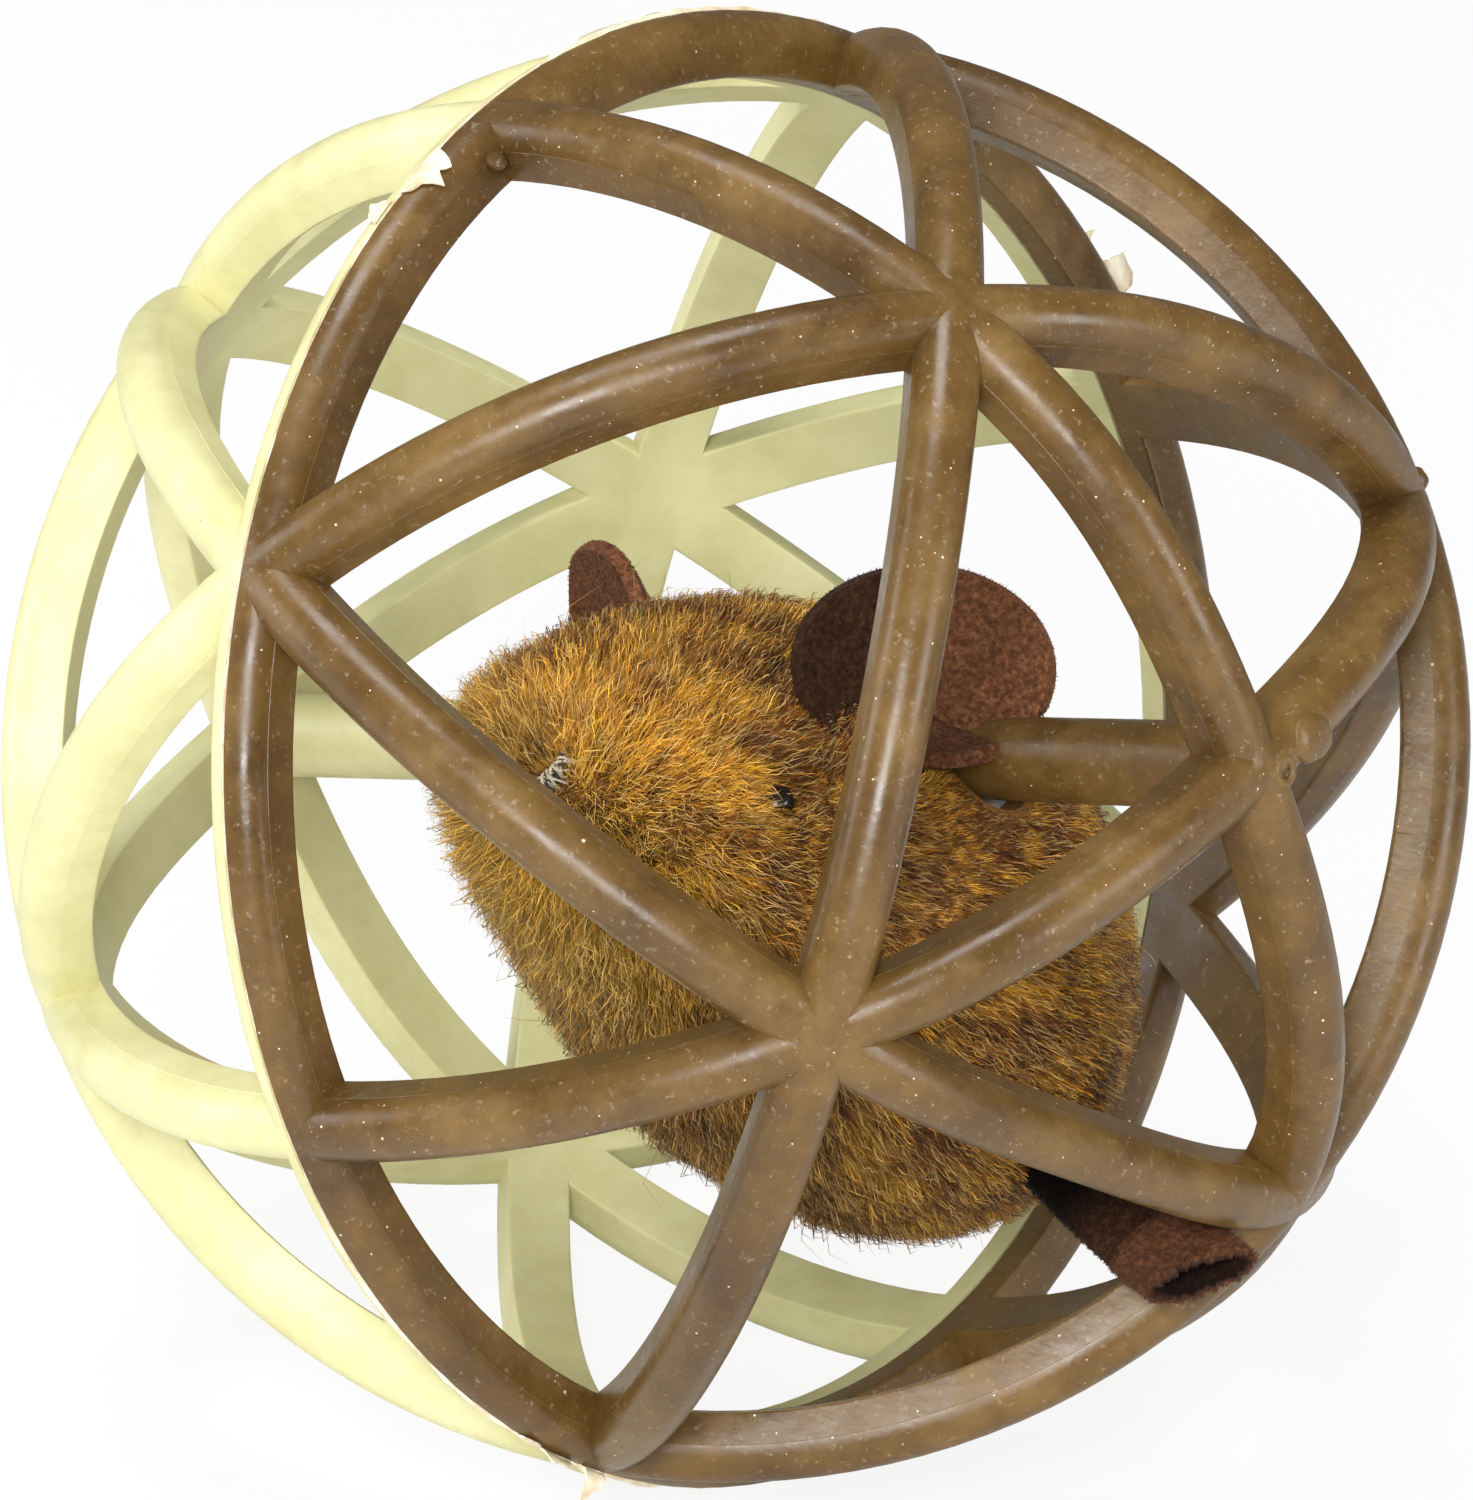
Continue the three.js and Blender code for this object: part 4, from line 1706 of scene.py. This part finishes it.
@dataclass
class VelourNap:
    """A very short nap on velour, grown from a finished cloth mesh, in millimetres."""

    per_mm2: float = 30.0
    length: float = 0.2
    width: float = 0.1
    root_depth: float = 0.08
    comb: Way3 = (0.4, -0.3, -0.9)
    seed: int = 41
    dark: Rgba = tint(80, 48, 32)
    light: Rgba = tint(166, 112, 80)

    def grow(self, cloth: Piece, name: str) -> Piece:
        """Grows the nap over a cloth mesh.

        Args:
            cloth: The cloth.
            name: The nap's name.

        Returns:
            The nap.
        """
        mesh = cloth.data
        mesh.calc_loop_triangles()
        corners = np.empty(len(mesh.loop_triangles) * 3, dtype=np.int32)
        mesh.loop_triangles.foreach_get("vertices", corners)
        triangles = corners_of(cloth)[corners].reshape(-1, 3, 3) / MM
        cross = np.cross(triangles[:, 1] - triangles[:, 0], triangles[:, 2] - triangles[:, 0])
        area = np.linalg.norm(cross, axis=1) / 2.0
        rng = np.random.default_rng(self.seed)
        count = int(area.sum() * self.per_mm2)
        chosen = rng.choice(len(area), size=count, p=area / area.sum())
        shares = rng.dirichlet((1.0, 1.0, 1.0), size=count)
        roots = np.sum(triangles[chosen] * shares[:, :, None], axis=1)
        outward = unit(cross[chosen])
        # The nap takes the cloth's painted tones, painted shade included.
        tone = self.tones(cloth)[corners.reshape(-1, 3)[chosen]].mean(axis=1)
        sway = unit(rng.normal(size=(count, 3)) + np.array(self.comb))
        grow = unit(outward + 0.9 * along_skin(sway, outward))
        size = self.length * (0.6 + 0.8 * rng.random(count))
        tips = roots + grow * size[:, None]
        foot = roots - outward * self.root_depth
        shade = np.clip(0.45 + 0.35 * blotches(roots, 0.55, 5.0) + 0.25 * rng.normal(size=count), 0.0, 1.0)
        dark, light = np.array(self.dark[:3]), np.array(self.light[:3])
        tip = blended(dark, light, shade) * tone
        root = dark * tone * 0.8
        order = np.lexsort((roots[:, 1], np.round(roots[:, 0] * 3.0)))
        strands = Strands(
            foot[order] * MM,
            tips[order] * MM,
            np.full(count, self.width * MM),
            root[order],
            tip[order],
        )
        return strands.piece(name, self.seed + 1)

    def tones(self, cloth: Piece) -> Array:
        """Reads the colours painted on the cloth, painted shade included."""
        layer = cloth.data.color_attributes[CLOTH_COLOUR]
        found = np.empty(len(layer.data) * 4, dtype=np.float32)
        layer.data.foreach_get("color", found)
        return found.reshape(-1, 4)[:, :3]


@dataclass(frozen=True)
class Ear:
    """A round velour ear, cupped and drawn in at its foot, in the mouse's axes and millimetres."""

    name: str
    node: str
    spot: Spot
    stands: Way3
    faces: Way3
    tuck: float
    slant: float = 0.0
    fold: float = 0.0
    curl: float = 0.0
    width: float = 17.0
    length: float = 14.2
    cup: float = 2.0
    thickness: float = 1.0
    steps: int = 56

    def frame(self, shape: PlushShape) -> tuple[Array, Array, Array, Array]:
        """Gives the ear's middle and its ways across, up and forward.

        Args:
            shape: The plush that it stands on.

        Returns:
            The middle and the three ways.
        """
        upright = Vector(self.stands).normalized()
        forward = Vector(self.faces)
        forward = (forward - upright * forward.dot(upright)).normalized()
        seat, _ = shape.seat(self.spot)
        middle = seat + upright * (self.length / 2.0 - self.tuck) - forward * self.cup
        across = forward.cross(upright)
        return np.array(middle), np.array(across), np.array(upright), np.array(forward)

    def build(self, shape: PlushShape) -> Piece:
        """Cuts and folds the ear.

        Args:
            shape: The plush that it stands on.

        Returns:
            The ear.
        """
        middle, across, upright, forward = self.frame(shape)
        grid = bpy.ops.mesh.primitive_grid_add
        piece, flat = fresh(self.name, grid, x_subdivisions=self.steps, y_subdivisions=self.steps, size=2.0)
        wide = flat[:, 0] * np.sqrt(1.0 - flat[:, 1] ** 2 / 2.0)
        tall = flat[:, 1] * np.sqrt(1.0 - flat[:, 0] ** 2 / 2.0)
        distance = np.hypot(wide, tall)
        crease = -0.63 + 0.9 * (np.minimum(wide, 0.0) + 0.5) ** 2
        lip = share_of(wide, 0.25, -0.05) * np.clip(crease - tall, 0.0, 1.0)
        curled = np.clip(wide - 0.15, 0.0, 1.0)
        line = np.exp(-(((tall - crease) / 0.04) ** 2)) * (wide < 0.15) * min(self.fold, 1.0)
        rise = self.cup * distance**2 + 0.25 * np.sin(4.0 * wide + 1.0) * distance
        rise = rise + self.fold * lip + self.curl * curled**1.4 - 0.4 * line
        slant = math.radians(self.slant)
        sideways = wide * self.width / 2.0
        upwards = tall * self.length / 2.0
        local = middle + np.outer(sideways * math.cos(slant) - upwards * math.sin(slant), across)
        local = local + np.outer(sideways * math.sin(slant) + upwards * math.cos(slant), upright)
        local = local + np.outer(rise, forward)
        reshape(piece, placed(local, MOUSE))
        edge = share_of(distance, 0.965, 0.985)
        shadow = share_of(wide, 0.05, 0.35) * min(self.curl, 1.0)
        grain = 0.12 * blotches(local, 1.6, 3.0)
        # Painted shade: the curled left part is darkened as shadow, and the crease line is darkened as shade
        # in the fold.
        tone = (1.0 + grain) * (1.0 + 0.15 * edge) * (1.0 - 0.8 * shadow) * (1.0 - 0.75 * line)
        paint(piece, tone * np.where(lip > 0.0, 0.75, 1.0))
        return smooth(tidy_mesh(thicken(piece, self.thickness, 0.0)), 60.0)


@dataclass
class Tail:
    """The flattened velour tube of the tail, with a wide cuff cut open at its tip, in millimetres."""

    spot: Spot = Spot(0.168, 3.0)
    width: float = 7.0
    thickness: float = 3.0
    wall: float = 0.75
    tuck: float = 1.5
    bend_way: Way3 = (26.1, -29.6, 8.0)
    bend_distance: float = 40.3
    tip_way: Way3 = (34.7, -34.0, 10.0)
    tip_distance: float = 49.6
    flat: Way3 = (-0.14, 0.41, 0.9)
    mouth_wide: Way3 = (0.92, 0.36, -0.1)
    mouth_thin: Way3 = (-0.3, 0.75, 0.59)
    mouth_width: float = 7.6
    mouth_opening: float = 2.8
    mouth_start: float = 0.62
    cuff_start: float = 0.72
    fray_start: float = 0.96
    steps: int = 46
    sides: int = 56

    def path(self, shape: PlushShape) -> tuple[Vector, Vector, Vector]:
        """Gives the tail's root, bend and tip in the part's frame."""
        seat, outward = shape.seat(self.spot)
        root = MOUSE @ (seat - outward * self.tuck)
        bend = BALL @ (Vector(self.bend_way).normalized() * self.bend_distance)
        tip = BALL @ (Vector(self.tip_way).normalized() * self.tip_distance)
        return root, bend, tip

    def flat_size(self, shape: PlushShape) -> tuple[float, float]:
        """Gives the width and length, in metres, of the cloth that the tube is rolled from.

        Args:
            shape: The plush that the tail is sewn to.

        Returns:
            The way round the tube and the way along it.
        """
        wide, thin = self.width / 2.0, self.thickness / 2.0
        round_tube = math.pi * (3.0 * (wide + thin) - math.sqrt((3.0 * wide + thin) * (wide + 3.0 * thin)))
        root, bend, tip = self.path(shape)
        shares = np.linspace(0.0, 1.0, 33)
        places = [root * (1 - s) ** 2 + bend * 2 * s * (1 - s) + tip * s**2 for s in shares]
        along = sum((after - before).length for before, after in zip(places, places[1:]))
        return round_tube * MM, along

    def build(self, shape: PlushShape, studio: "Studio") -> Piece:
        """Rolls a sheet into the tail's tube.

        Args:
            shape: The plush that it is sewn to.
            studio: The view that shows how the tail's mouth gapes.

        Returns:
            The tail.
        """
        root, bend, tip = (np.array(point) for point in self.path(shape))
        flat = np.array((MOUSE.to_3x3() @ Vector(self.flat)).normalized())
        sizes = {"x_subdivisions": self.steps, "y_subdivisions": self.sides, "size": 1.0}
        piece, spots = fresh("tail_cloth", bpy.ops.mesh.primitive_grid_add, **sizes)
        share = spots[:, 0] + 0.5
        turn = (spots[:, 1] + 0.5) * math.tau
        line, way = bowed(root, bend, tip, share)
        wide = unit(flat - way * (way @ flat)[:, None])
        thin = np.cross(way, wide)
        gape = share_of(share, self.mouth_start, 1.0)
        gape = gape * gape * (3.0 - 2.0 * gape)
        mouth_wide = np.array(studio.in_view(self.mouth_wide))
        mouth_thin = np.array(studio.in_view(self.mouth_thin))
        wide = unit(wide + gape[:, None] * (mouth_wide - wide))
        thin = unit(thin + gape[:, None] * (mouth_thin - thin))
        creased = 1.0 + 0.1 * np.sin(10.0 * share + 2.0 * turn) * (1.0 - gape)
        cuff = share_of(share, self.cuff_start, self.cuff_start + 0.03)
        widening = gape * (self.mouth_width - self.width) / 2.0
        opening = gape * (self.mouth_opening - self.thickness) / 2.0
        half_wide = self.width / 2.0 + widening + 0.12 * cuff
        half_thin = self.thickness / 2.0 * creased + opening + 0.15 * cuff
        frayed = share_of(share, self.fray_start, 1.0)
        ragged = 0.22 * frayed * (np.sin(11.0 * turn) * np.sin(5.0 * turn + 1.0) + 0.6 * np.sin(29.0 * turn))
        points = line + wide * (half_wide * np.cos(turn))[:, None] * MM
        points = points + thin * (half_thin * np.sin(turn))[:, None] * MM + way * ragged[:, None] * MM
        # Painted shade darkens the tail towards its root; the cuff and the frayed end are lighter cloth.
        tone = 0.02 + 0.2 * share_of(share, 0.42, 0.62) + 0.35 * cuff + 0.25 * frayed
        thicken(tidy_mesh(reshape(piece, points)), self.wall, -1.0)
        self.shade(piece, line[:: self.sides + 1], tone[:: self.sides + 1])
        return smooth(piece, 60.0)

    def shade(self, piece: Piece, line: Array, tones: Array) -> None:
        """Paints the tail with painted shade: dark at its root, where the rump shadows it, and inside the
        tube.

        Args:
            piece: The finished tube.
            line: Places along the tube's middle.
            tones: How light the cloth is painted at each of them, with painted shade towards the root.
        """
        points = corners_of(piece)
        apart = np.linalg.norm(points[:, None] - line[None], axis=2)
        tone = tones[apart.argmin(axis=1)]
        inside = np.arange(len(points)) >= len(points) // 2
        # Painted shade: the inside of the tube is darkened.
        paint(piece, np.where(inside, 0.12 * tone, tone))


@dataclass
class Face:
    """The mouse's bead eyes and stitched nose, in the mouse's axes and millimetres."""

    shape: PlushShape
    eye_radius: float = 1.2
    eye_thickness: float = 1.6
    eye_back: float = 0.55
    eye_sink: float = 1.45
    nose_runs: Way3 = (0.2, 0.0, 1.0)
    thread: float = 0.17
    stitches: int = 26
    nose_half: float = 1.7
    nose_seed: int = 71
    black: Rgba = tint(24, 22, 24)
    pale: Rgba = tint(214, 206, 186)

    def eye(self, name: str, spot: Spot) -> Piece:
        """Makes a bead with a flattened back.

        Args:
            name: The bead's name.
            spot: Where it sits.

        Returns:
            The bead.
        """
        seat, outward = self.shape.seat(spot)
        ball = bpy.ops.mesh.primitive_uv_sphere_add
        piece, points = fresh(name, ball, segments=32, ring_count=20, radius=1.0)
        height = np.where(points[:, 2] < 0.0, self.eye_back * points[:, 2], points[:, 2])
        local = np.stack((points[:, 0] * self.eye_radius, points[:, 1] * self.eye_radius, height), axis=1)
        local[:, 2] *= self.eye_thickness / (1.0 + self.eye_back)
        place = MOUSE @ Matrix.Translation(seat - outward * self.eye_sink) @ facing(outward)
        return smooth(tidy_mesh(reshape(piece, placed(local, place))), 40.0)

    def stitch(self, start: Vector, top: Vector, end: Vector, colour: Rgba) -> Piece:
        """Makes one stitch, a bent thread between two holes.

        Args:
            start: Where it comes out.
            top: The highest place of its bow.
            end: Where it goes in.
            colour: The thread's colour.

        Returns:
            The stitch.
        """
        sizes = {"major_segments": 24, "minor_segments": 8, "major_radius": 2.0, "minor_radius": 1.0}
        piece, points = fresh("stitch", bpy.ops.mesh.primitive_torus_add, **sizes)
        turn = np.arctan2(points[:, 1], points[:, 0])
        share = np.abs(turn) / math.pi
        side = np.where(turn >= 0.0, 1.0, -1.0)
        out = np.hypot(points[:, 0], points[:, 1]) - 2.0
        first, peak, last = (np.array(point) for point in (start, top, end))
        line, way = bowed(first, peak, last, share)
        lift = unit(np.cross(way, np.cross((peak - (first + last) / 2.0)[None], way)))
        aside = np.cross(way, lift)
        twist = 1.0 + 0.15 * np.sin(26.0 * share + 4.0 * out)
        radius = self.thread / 2.0
        half = side * (0.5 + 0.5 * out)
        local = line + aside * (half * radius * twist)[:, None]
        local = local + lift * (points[:, 2] * radius * twist)[:, None]
        reshape(piece, placed(local, MOUSE))
        paint(piece, np.tile(np.array(colour), (len(points), 1)))
        return piece

    def nose_stitches(self) -> Piece:
        """Sews the nose: crossing stitches of black and off-white thread.

        Returns:
            The stitches as one piece.
        """
        seat, outward = self.shape.seat(NOSE)
        across = outward.cross(Vector(self.nose_runs)).normalized()
        upward = across.cross(outward)
        rng = np.random.default_rng(self.nose_seed)
        stitches = []
        for count in range(self.stitches):
            height = self.nose_half * (2.0 * count / (self.stitches - 1) - 1.0)
            spread = 0.85 - 0.1 * abs(height) + 0.25 * rng.normal()
            slant = 0.6 * (1.0 if count % 2 else -1.0) + 0.35 * rng.normal()
            start = seat + upward * (height - slant) + across * spread - outward * 0.5
            end = seat + upward * (height + slant) - across * spread - outward * 0.5
            top = (start + end) / 2.0 + outward * (1.9 + 0.4 * rng.normal())
            colour = self.black if count % 3 == 1 else self.pale
            stitches.append(self.stitch(start, top, end, colour))
        return smooth(tidy_mesh(joined("nose_thread", stitches)), 60.0)


@dataclass
class Inside:
    """The fibre filling and the pouch of dried leaf that the cover hides, in millimetres."""

    shape: PlushShape
    cover: PlushCover
    inset: float = 2.1
    pouch: Way3 = (20.0, 16.0, 9.0)
    pouch_height: float = -12.1
    gap: float = 0.3

    def pillow(self, growth: float) -> Piece:
        """Makes the pouch's pillow, drawn in along its sewn edge.

        Args:
            growth: How much larger it is on every side.

        Returns:
            The pillow.
        """
        ball = bpy.ops.mesh.primitive_uv_sphere_add
        piece, points = fresh("leaf_pouch", ball, segments=48, ring_count=24, radius=1.0)
        gathers = np.cos(18.0 * np.arctan2(points[:, 1], points[:, 0]))
        edge = 1.0 + 0.05 * gathers * (1.0 - np.abs(points[:, 2])) ** 4
        half = np.array(self.pouch) / 2.0 + growth - 0.5 * (growth == 0.0)
        local = points * half
        local[:, :2] *= edge[:, None]
        local[:, 2] += self.pouch_height + 0.25 * blotches(points * 3.0, 1.0, 2.0) * (growth == 0.0)
        return tidy_mesh(reshape(piece, placed(local, MOUSE)))

    def filling(self) -> Piece:
        """Makes the lumpy filling round the axle and the pouch.

        Returns:
            The filling.
        """
        ball = bpy.ops.mesh.primitive_uv_sphere_add
        piece, points = fresh("fibre_stuffing", ball, segments=72, ring_count=44, radius=1.0)
        along = np.clip((1.0 + points[:, 2]) / 2.0, 1e-4, 1.0 - 1e-4)
        around = np.arctan2(points[:, 1], points[:, 0])
        skin = self.shape.surface(along, around)
        lumps = self.inset + 0.5 * np.abs(blotches(skin, 3.0, 6.0))
        local = skin - self.shape.outward(along, around) * lumps[:, None]
        tidy_mesh(reshape(piece, placed(local, MOUSE)))
        combine(piece, self.cover.passage_rod(), Way.CUT)
        return combine(piece, self.pillow(self.gap), Way.CUT)

    def build(self) -> tuple[Piece, Piece]:
        """Makes the filling and the pouch."""
        return smooth(self.filling(), 60.0), smooth(self.pillow(0.0), 60.0)


@dataclass(frozen=True)
class Lamp:
    """A soft square lamp that faces the ball, its way in the camera's own right, up and back."""

    name: str
    way: Way3
    distance: float
    size: float
    power: float


@dataclass
class Studio:
    """The white floor, the soft lights and the camera."""

    floor_height: float = float(cad_box[0].z)
    right: Way3 = (0.7653, 0.6434, 0.0241)
    up: Way3 = (-0.2648, 0.2799, 0.9229)
    back: Way3 = (0.5869, -0.7127, 0.3842)
    distance: float = 1.0
    aside: float = 0.00052
    above: float = 0.0
    lens: float = 354.8
    sensor: float = 36.0
    room_light: float = 0.2
    shadow: float = 0.12
    floor_size: float = 12.0
    lamps: tuple[Lamp, ...] = (
        Lamp("top", way=(-0.15, 0.9, 0.4), distance=0.7, size=0.3, power=3.0),
        Lamp("left", way=(-0.95, 0.3, 0.05), distance=0.7, size=0.36, power=1.9),
        Lamp("right", way=(0.85, 0.05, 0.5), distance=0.8, size=0.3, power=2.4),
        Lamp("front", way=(-0.1, 0.08, 1.0), distance=0.8, size=0.26, power=6.5),
    )

    def camera(self) -> None:
        """Sets the camera at the photograph's angle."""
        data = bpy.data.cameras.new("camera")
        data.lens = self.lens
        data.sensor_width = self.sensor
        data.sensor_fit = "AUTO"
        data.clip_start = 0.01
        camera = bpy.data.objects.new("camera", data)
        right, up, back = (Vector(way).normalized() for way in (self.right, self.up, self.back))
        place = Matrix((right, up, back)).transposed().to_4x4()
        place.translation = right * self.aside + up * self.above + back * self.distance
        camera.matrix_world = place
        bpy.context.scene.collection.objects.link(camera)
        bpy.context.scene.camera = camera

    def in_view(self, way: Way3) -> Vector:
        """Turns a way right, up and towards the camera into the part's frame."""
        axes = zip(way, (self.right, self.up, self.back))
        return sum((Vector(axis) * share for share, axis in axes), Vector()).normalized()

    def hang(self, lamp: Lamp) -> None:
        """Adds a lamp.

        Args:
            lamp: Its place, size in metres and power in watts.
        """
        data = bpy.data.lights.new(lamp.name, "AREA")
        data.shape = "SQUARE"
        data.size = lamp.size
        data.energy = lamp.power
        light = bpy.data.objects.new(lamp.name, data)
        outward = self.in_view(lamp.way)
        light.location = outward * lamp.distance
        light.rotation_euler = outward.to_track_quat("Z", "Y").to_euler()
        bpy.context.scene.collection.objects.link(light)

    def white(self, name: str) -> bpy.types.Material:
        """Makes the floor's white, which the camera sees as white with a faint shadow.

        Args:
            name: The material's name.

        Returns:
            The material.
        """
        look = Shader(name)
        look.settings({"Base Color": (0.86, 0.86, 0.86, 1.0), "Roughness": 0.9, "Specular IOR Level": 0.1})
        rays = look.add("ShaderNodeLightPath", {})
        seen = look.times(rays.outputs["Is Camera Ray"], 1.0 - self.shadow)
        glow = look.add("ShaderNodeEmission", {"Color": (1.0, 1.0, 1.0, 1.0), "Strength": 1.0})
        both = look.add("ShaderNodeMixShader", {0: seen, 1: look.surface.outputs[0], 2: glow.outputs[0]})
        look.links.new(both.outputs[0], look.nodes["Material Output"].inputs["Surface"])
        return look.material

    def floor(self) -> Piece:
        """Lays the floor."""
        sizes = {"size": self.floor_size, "location": (0.0, 0.0, self.floor_height)}
        floor = settle(fresh("floor", bpy.ops.mesh.primitive_plane_add, **sizes)[0])
        floor.data.materials.append(self.white("floor_white"))
        return floor

    def world(self) -> None:
        """Fills the room with even light and shows the camera white."""
        world = bpy.data.worlds.new("room")
        bpy.context.scene.world = world
        world.use_nodes = True
        nodes, links = world.node_tree.nodes, world.node_tree.links
        room = nodes["Background"]
        room.inputs["Color"].default_value = (1.0, 1.0, 1.0, 1.0)
        room.inputs["Strength"].default_value = self.room_light
        white = nodes.new("ShaderNodeBackground")
        white.inputs["Strength"].default_value = 1.0
        white.inputs["Color"].default_value = (1.0, 1.0, 1.0, 1.0)
        rays = nodes.new("ShaderNodeLightPath")
        both = nodes.new("ShaderNodeMixShader")
        links.new(rays.outputs["Is Camera Ray"], both.inputs[0])
        links.new(room.outputs[0], both.inputs[1])
        links.new(white.outputs[0], both.inputs[2])
        links.new(both.outputs[0], nodes["World Output"].inputs["Surface"])

    def build(self) -> None:
        """Sets up the whole studio."""
        bpy.context.scene.view_settings.view_transform = "Standard"
        self.world()
        self.floor()
        for lamp in self.lamps:
            self.hang(lamp)
        self.camera()


BROWN_PLASTIC = MouldedPlastic(
    "brown_plastic",
    shade=tint(74, 52, 24),
    body=tint(98, 72, 32),
    light=tint(122, 94, 48),
    dust=tint(222, 206, 180),
    dust_share=0.3,
    roughness=0.33,
    gloss=0.42,
)
CREAM_PLASTIC = MouldedPlastic(
    "cream_plastic",
    shade=tint(198, 193, 138),
    body=tint(212, 208, 156),
    light=tint(222, 219, 174),
    dust=tint(150, 138, 96),
    dust_share=0.03,
    roughness=0.42,
    gloss=0.45,
)


def build_ball() -> None:
    """Builds the two halves of the ball and the glue between them."""
    ball = LatticeBall()
    halves = ball.build()
    MouldMarks().add_to(halves[Half.BROWN])
    finishes = {Half.BROWN: BROWN_PLASTIC, Half.CREAM: CREAM_PLASTIC}
    for half, piece in halves.items():
        colour = half.name.lower()
        finish = finishes[half].material()
        dress(ball.finish(piece), finish, "cage", f"{colour}_plastic", f"{colour}_half_cage")
    glue = SetGlue("set_glue", tint(206, 182, 144), tint(238, 231, 206)).material()
    ring, flakes = SeamGlue().build()
    dress(ring, glue, "cage", "glue", "seam_glue")
    dress(flakes, glue, "cage", "glue")


def build_mouse() -> None:
    """Builds the plush mouse with its filling, ears, tail and face."""
    shape = PlushShape()
    cover = PlushCover(shape)
    backing = PileBacking("pile_backing", tint(100, 64, 20), tint(150, 100, 32)).material()
    for panel, piece in cover.build().items():
        dress(piece, backing, "mouse", "plush", panel.value)
    ears = mouse_ears()
    fibre = PileFibre("pile_fibre", roughness=0.36, gloss=0.4).material()
    for piece in PileCoat(shape, tuple(ears)).build():
        dress(piece, fibre, "mouse", "plush")
    filling, pouch = Inside(shape, cover).build()
    fluff = LooseFill("white_fibre", tint(214, 208, 196), tint(240, 238, 232), 260.0).material()
    leaf = LooseFill("dried_leaf", tint(84, 92, 46), tint(140, 150, 90), 900.0).material()
    dress(filling, fluff, "mouse", "filling", "fibre_filling")
    dress(pouch, leaf, "mouse", "catnip", "catnip_pouch")
    build_velour(shape, ears)
    face = Face(shape)
    bead = GlossBead("black_bead", tint(14, 13, 13), tint(60, 56, 52)).material()
    dress(face.eye("left_bead", LEFT_EYE), bead, "mouse", "eye_bead", "left_eye")
    dress(face.eye("right_bead", RIGHT_EYE), bead, "mouse", "eye_bead", "right_eye")
    thread = SewingThread("nose_thread").material()
    dress(face.nose_stitches(), thread, "mouse", "thread", "nose_stitches")


def mouse_ears() -> dict[Ear, str]:
    """Gives the two ears, each with the cover that it is sewn to."""
    left = Ear(
        name="left_ear_cloth",
        node="left_ear",
        spot=Spot(0.8, 47.0),
        stands=(0.28, -0.2, 0.94),
        faces=(0.76, 0.64, -0.09),
        tuck=2.2,
        slant=-27.0,
        fold=6.0,
        curl=3.5,
    )
    right = Ear(
        name="right_ear_cloth",
        node="right_ear",
        spot=Spot(0.7, 167.0),
        stands=(0.749, -0.454, 0.483),
        faces=(0.429, -0.221, -0.875),
        tuck=5.6,
    )
    return {left: "left_side_cover", right: "right_side_cover"}


def build_velour(shape: PlushShape, ears: dict[Ear, str]) -> None:
    """Builds the ears and the tail.

    Args:
        shape: The plush that they are sewn to.
        ears: The ears, each with the cover that it is sewn to.
    """
    cloth = VelourCloth("velour", tint(78, 48, 30), tint(108, 68, 44), tint(140, 94, 64)).material()
    nap_finish = PileFibre("velour_nap", roughness=0.6, gloss=0.15).material()
    nap = VelourNap()
    for ear, cover in ears.items():
        piece = dress(ear.build(shape), cloth, "mouse", "velour", ear.node)
        fuzz = dress(nap.grow(piece, f"{ear.node}_nap"), nap_finish, "mouse", "velour")
    tail = Tail()
    piece = dress(tail.build(shape, Studio()), cloth, "mouse", "velour", "tail")
    fuzz = dress(nap.grow(piece, "tail_nap"), nap_finish, "mouse", "velour")
    tail.flat_size(shape)


def main() -> None:
    """Builds the ball, the mouse and the studio."""
    logging.basicConfig(level=logging.INFO, format="%(message)s")
    build_ball()
    build_mouse()
    Studio().build()


if __name__ == "__main__":
    main()
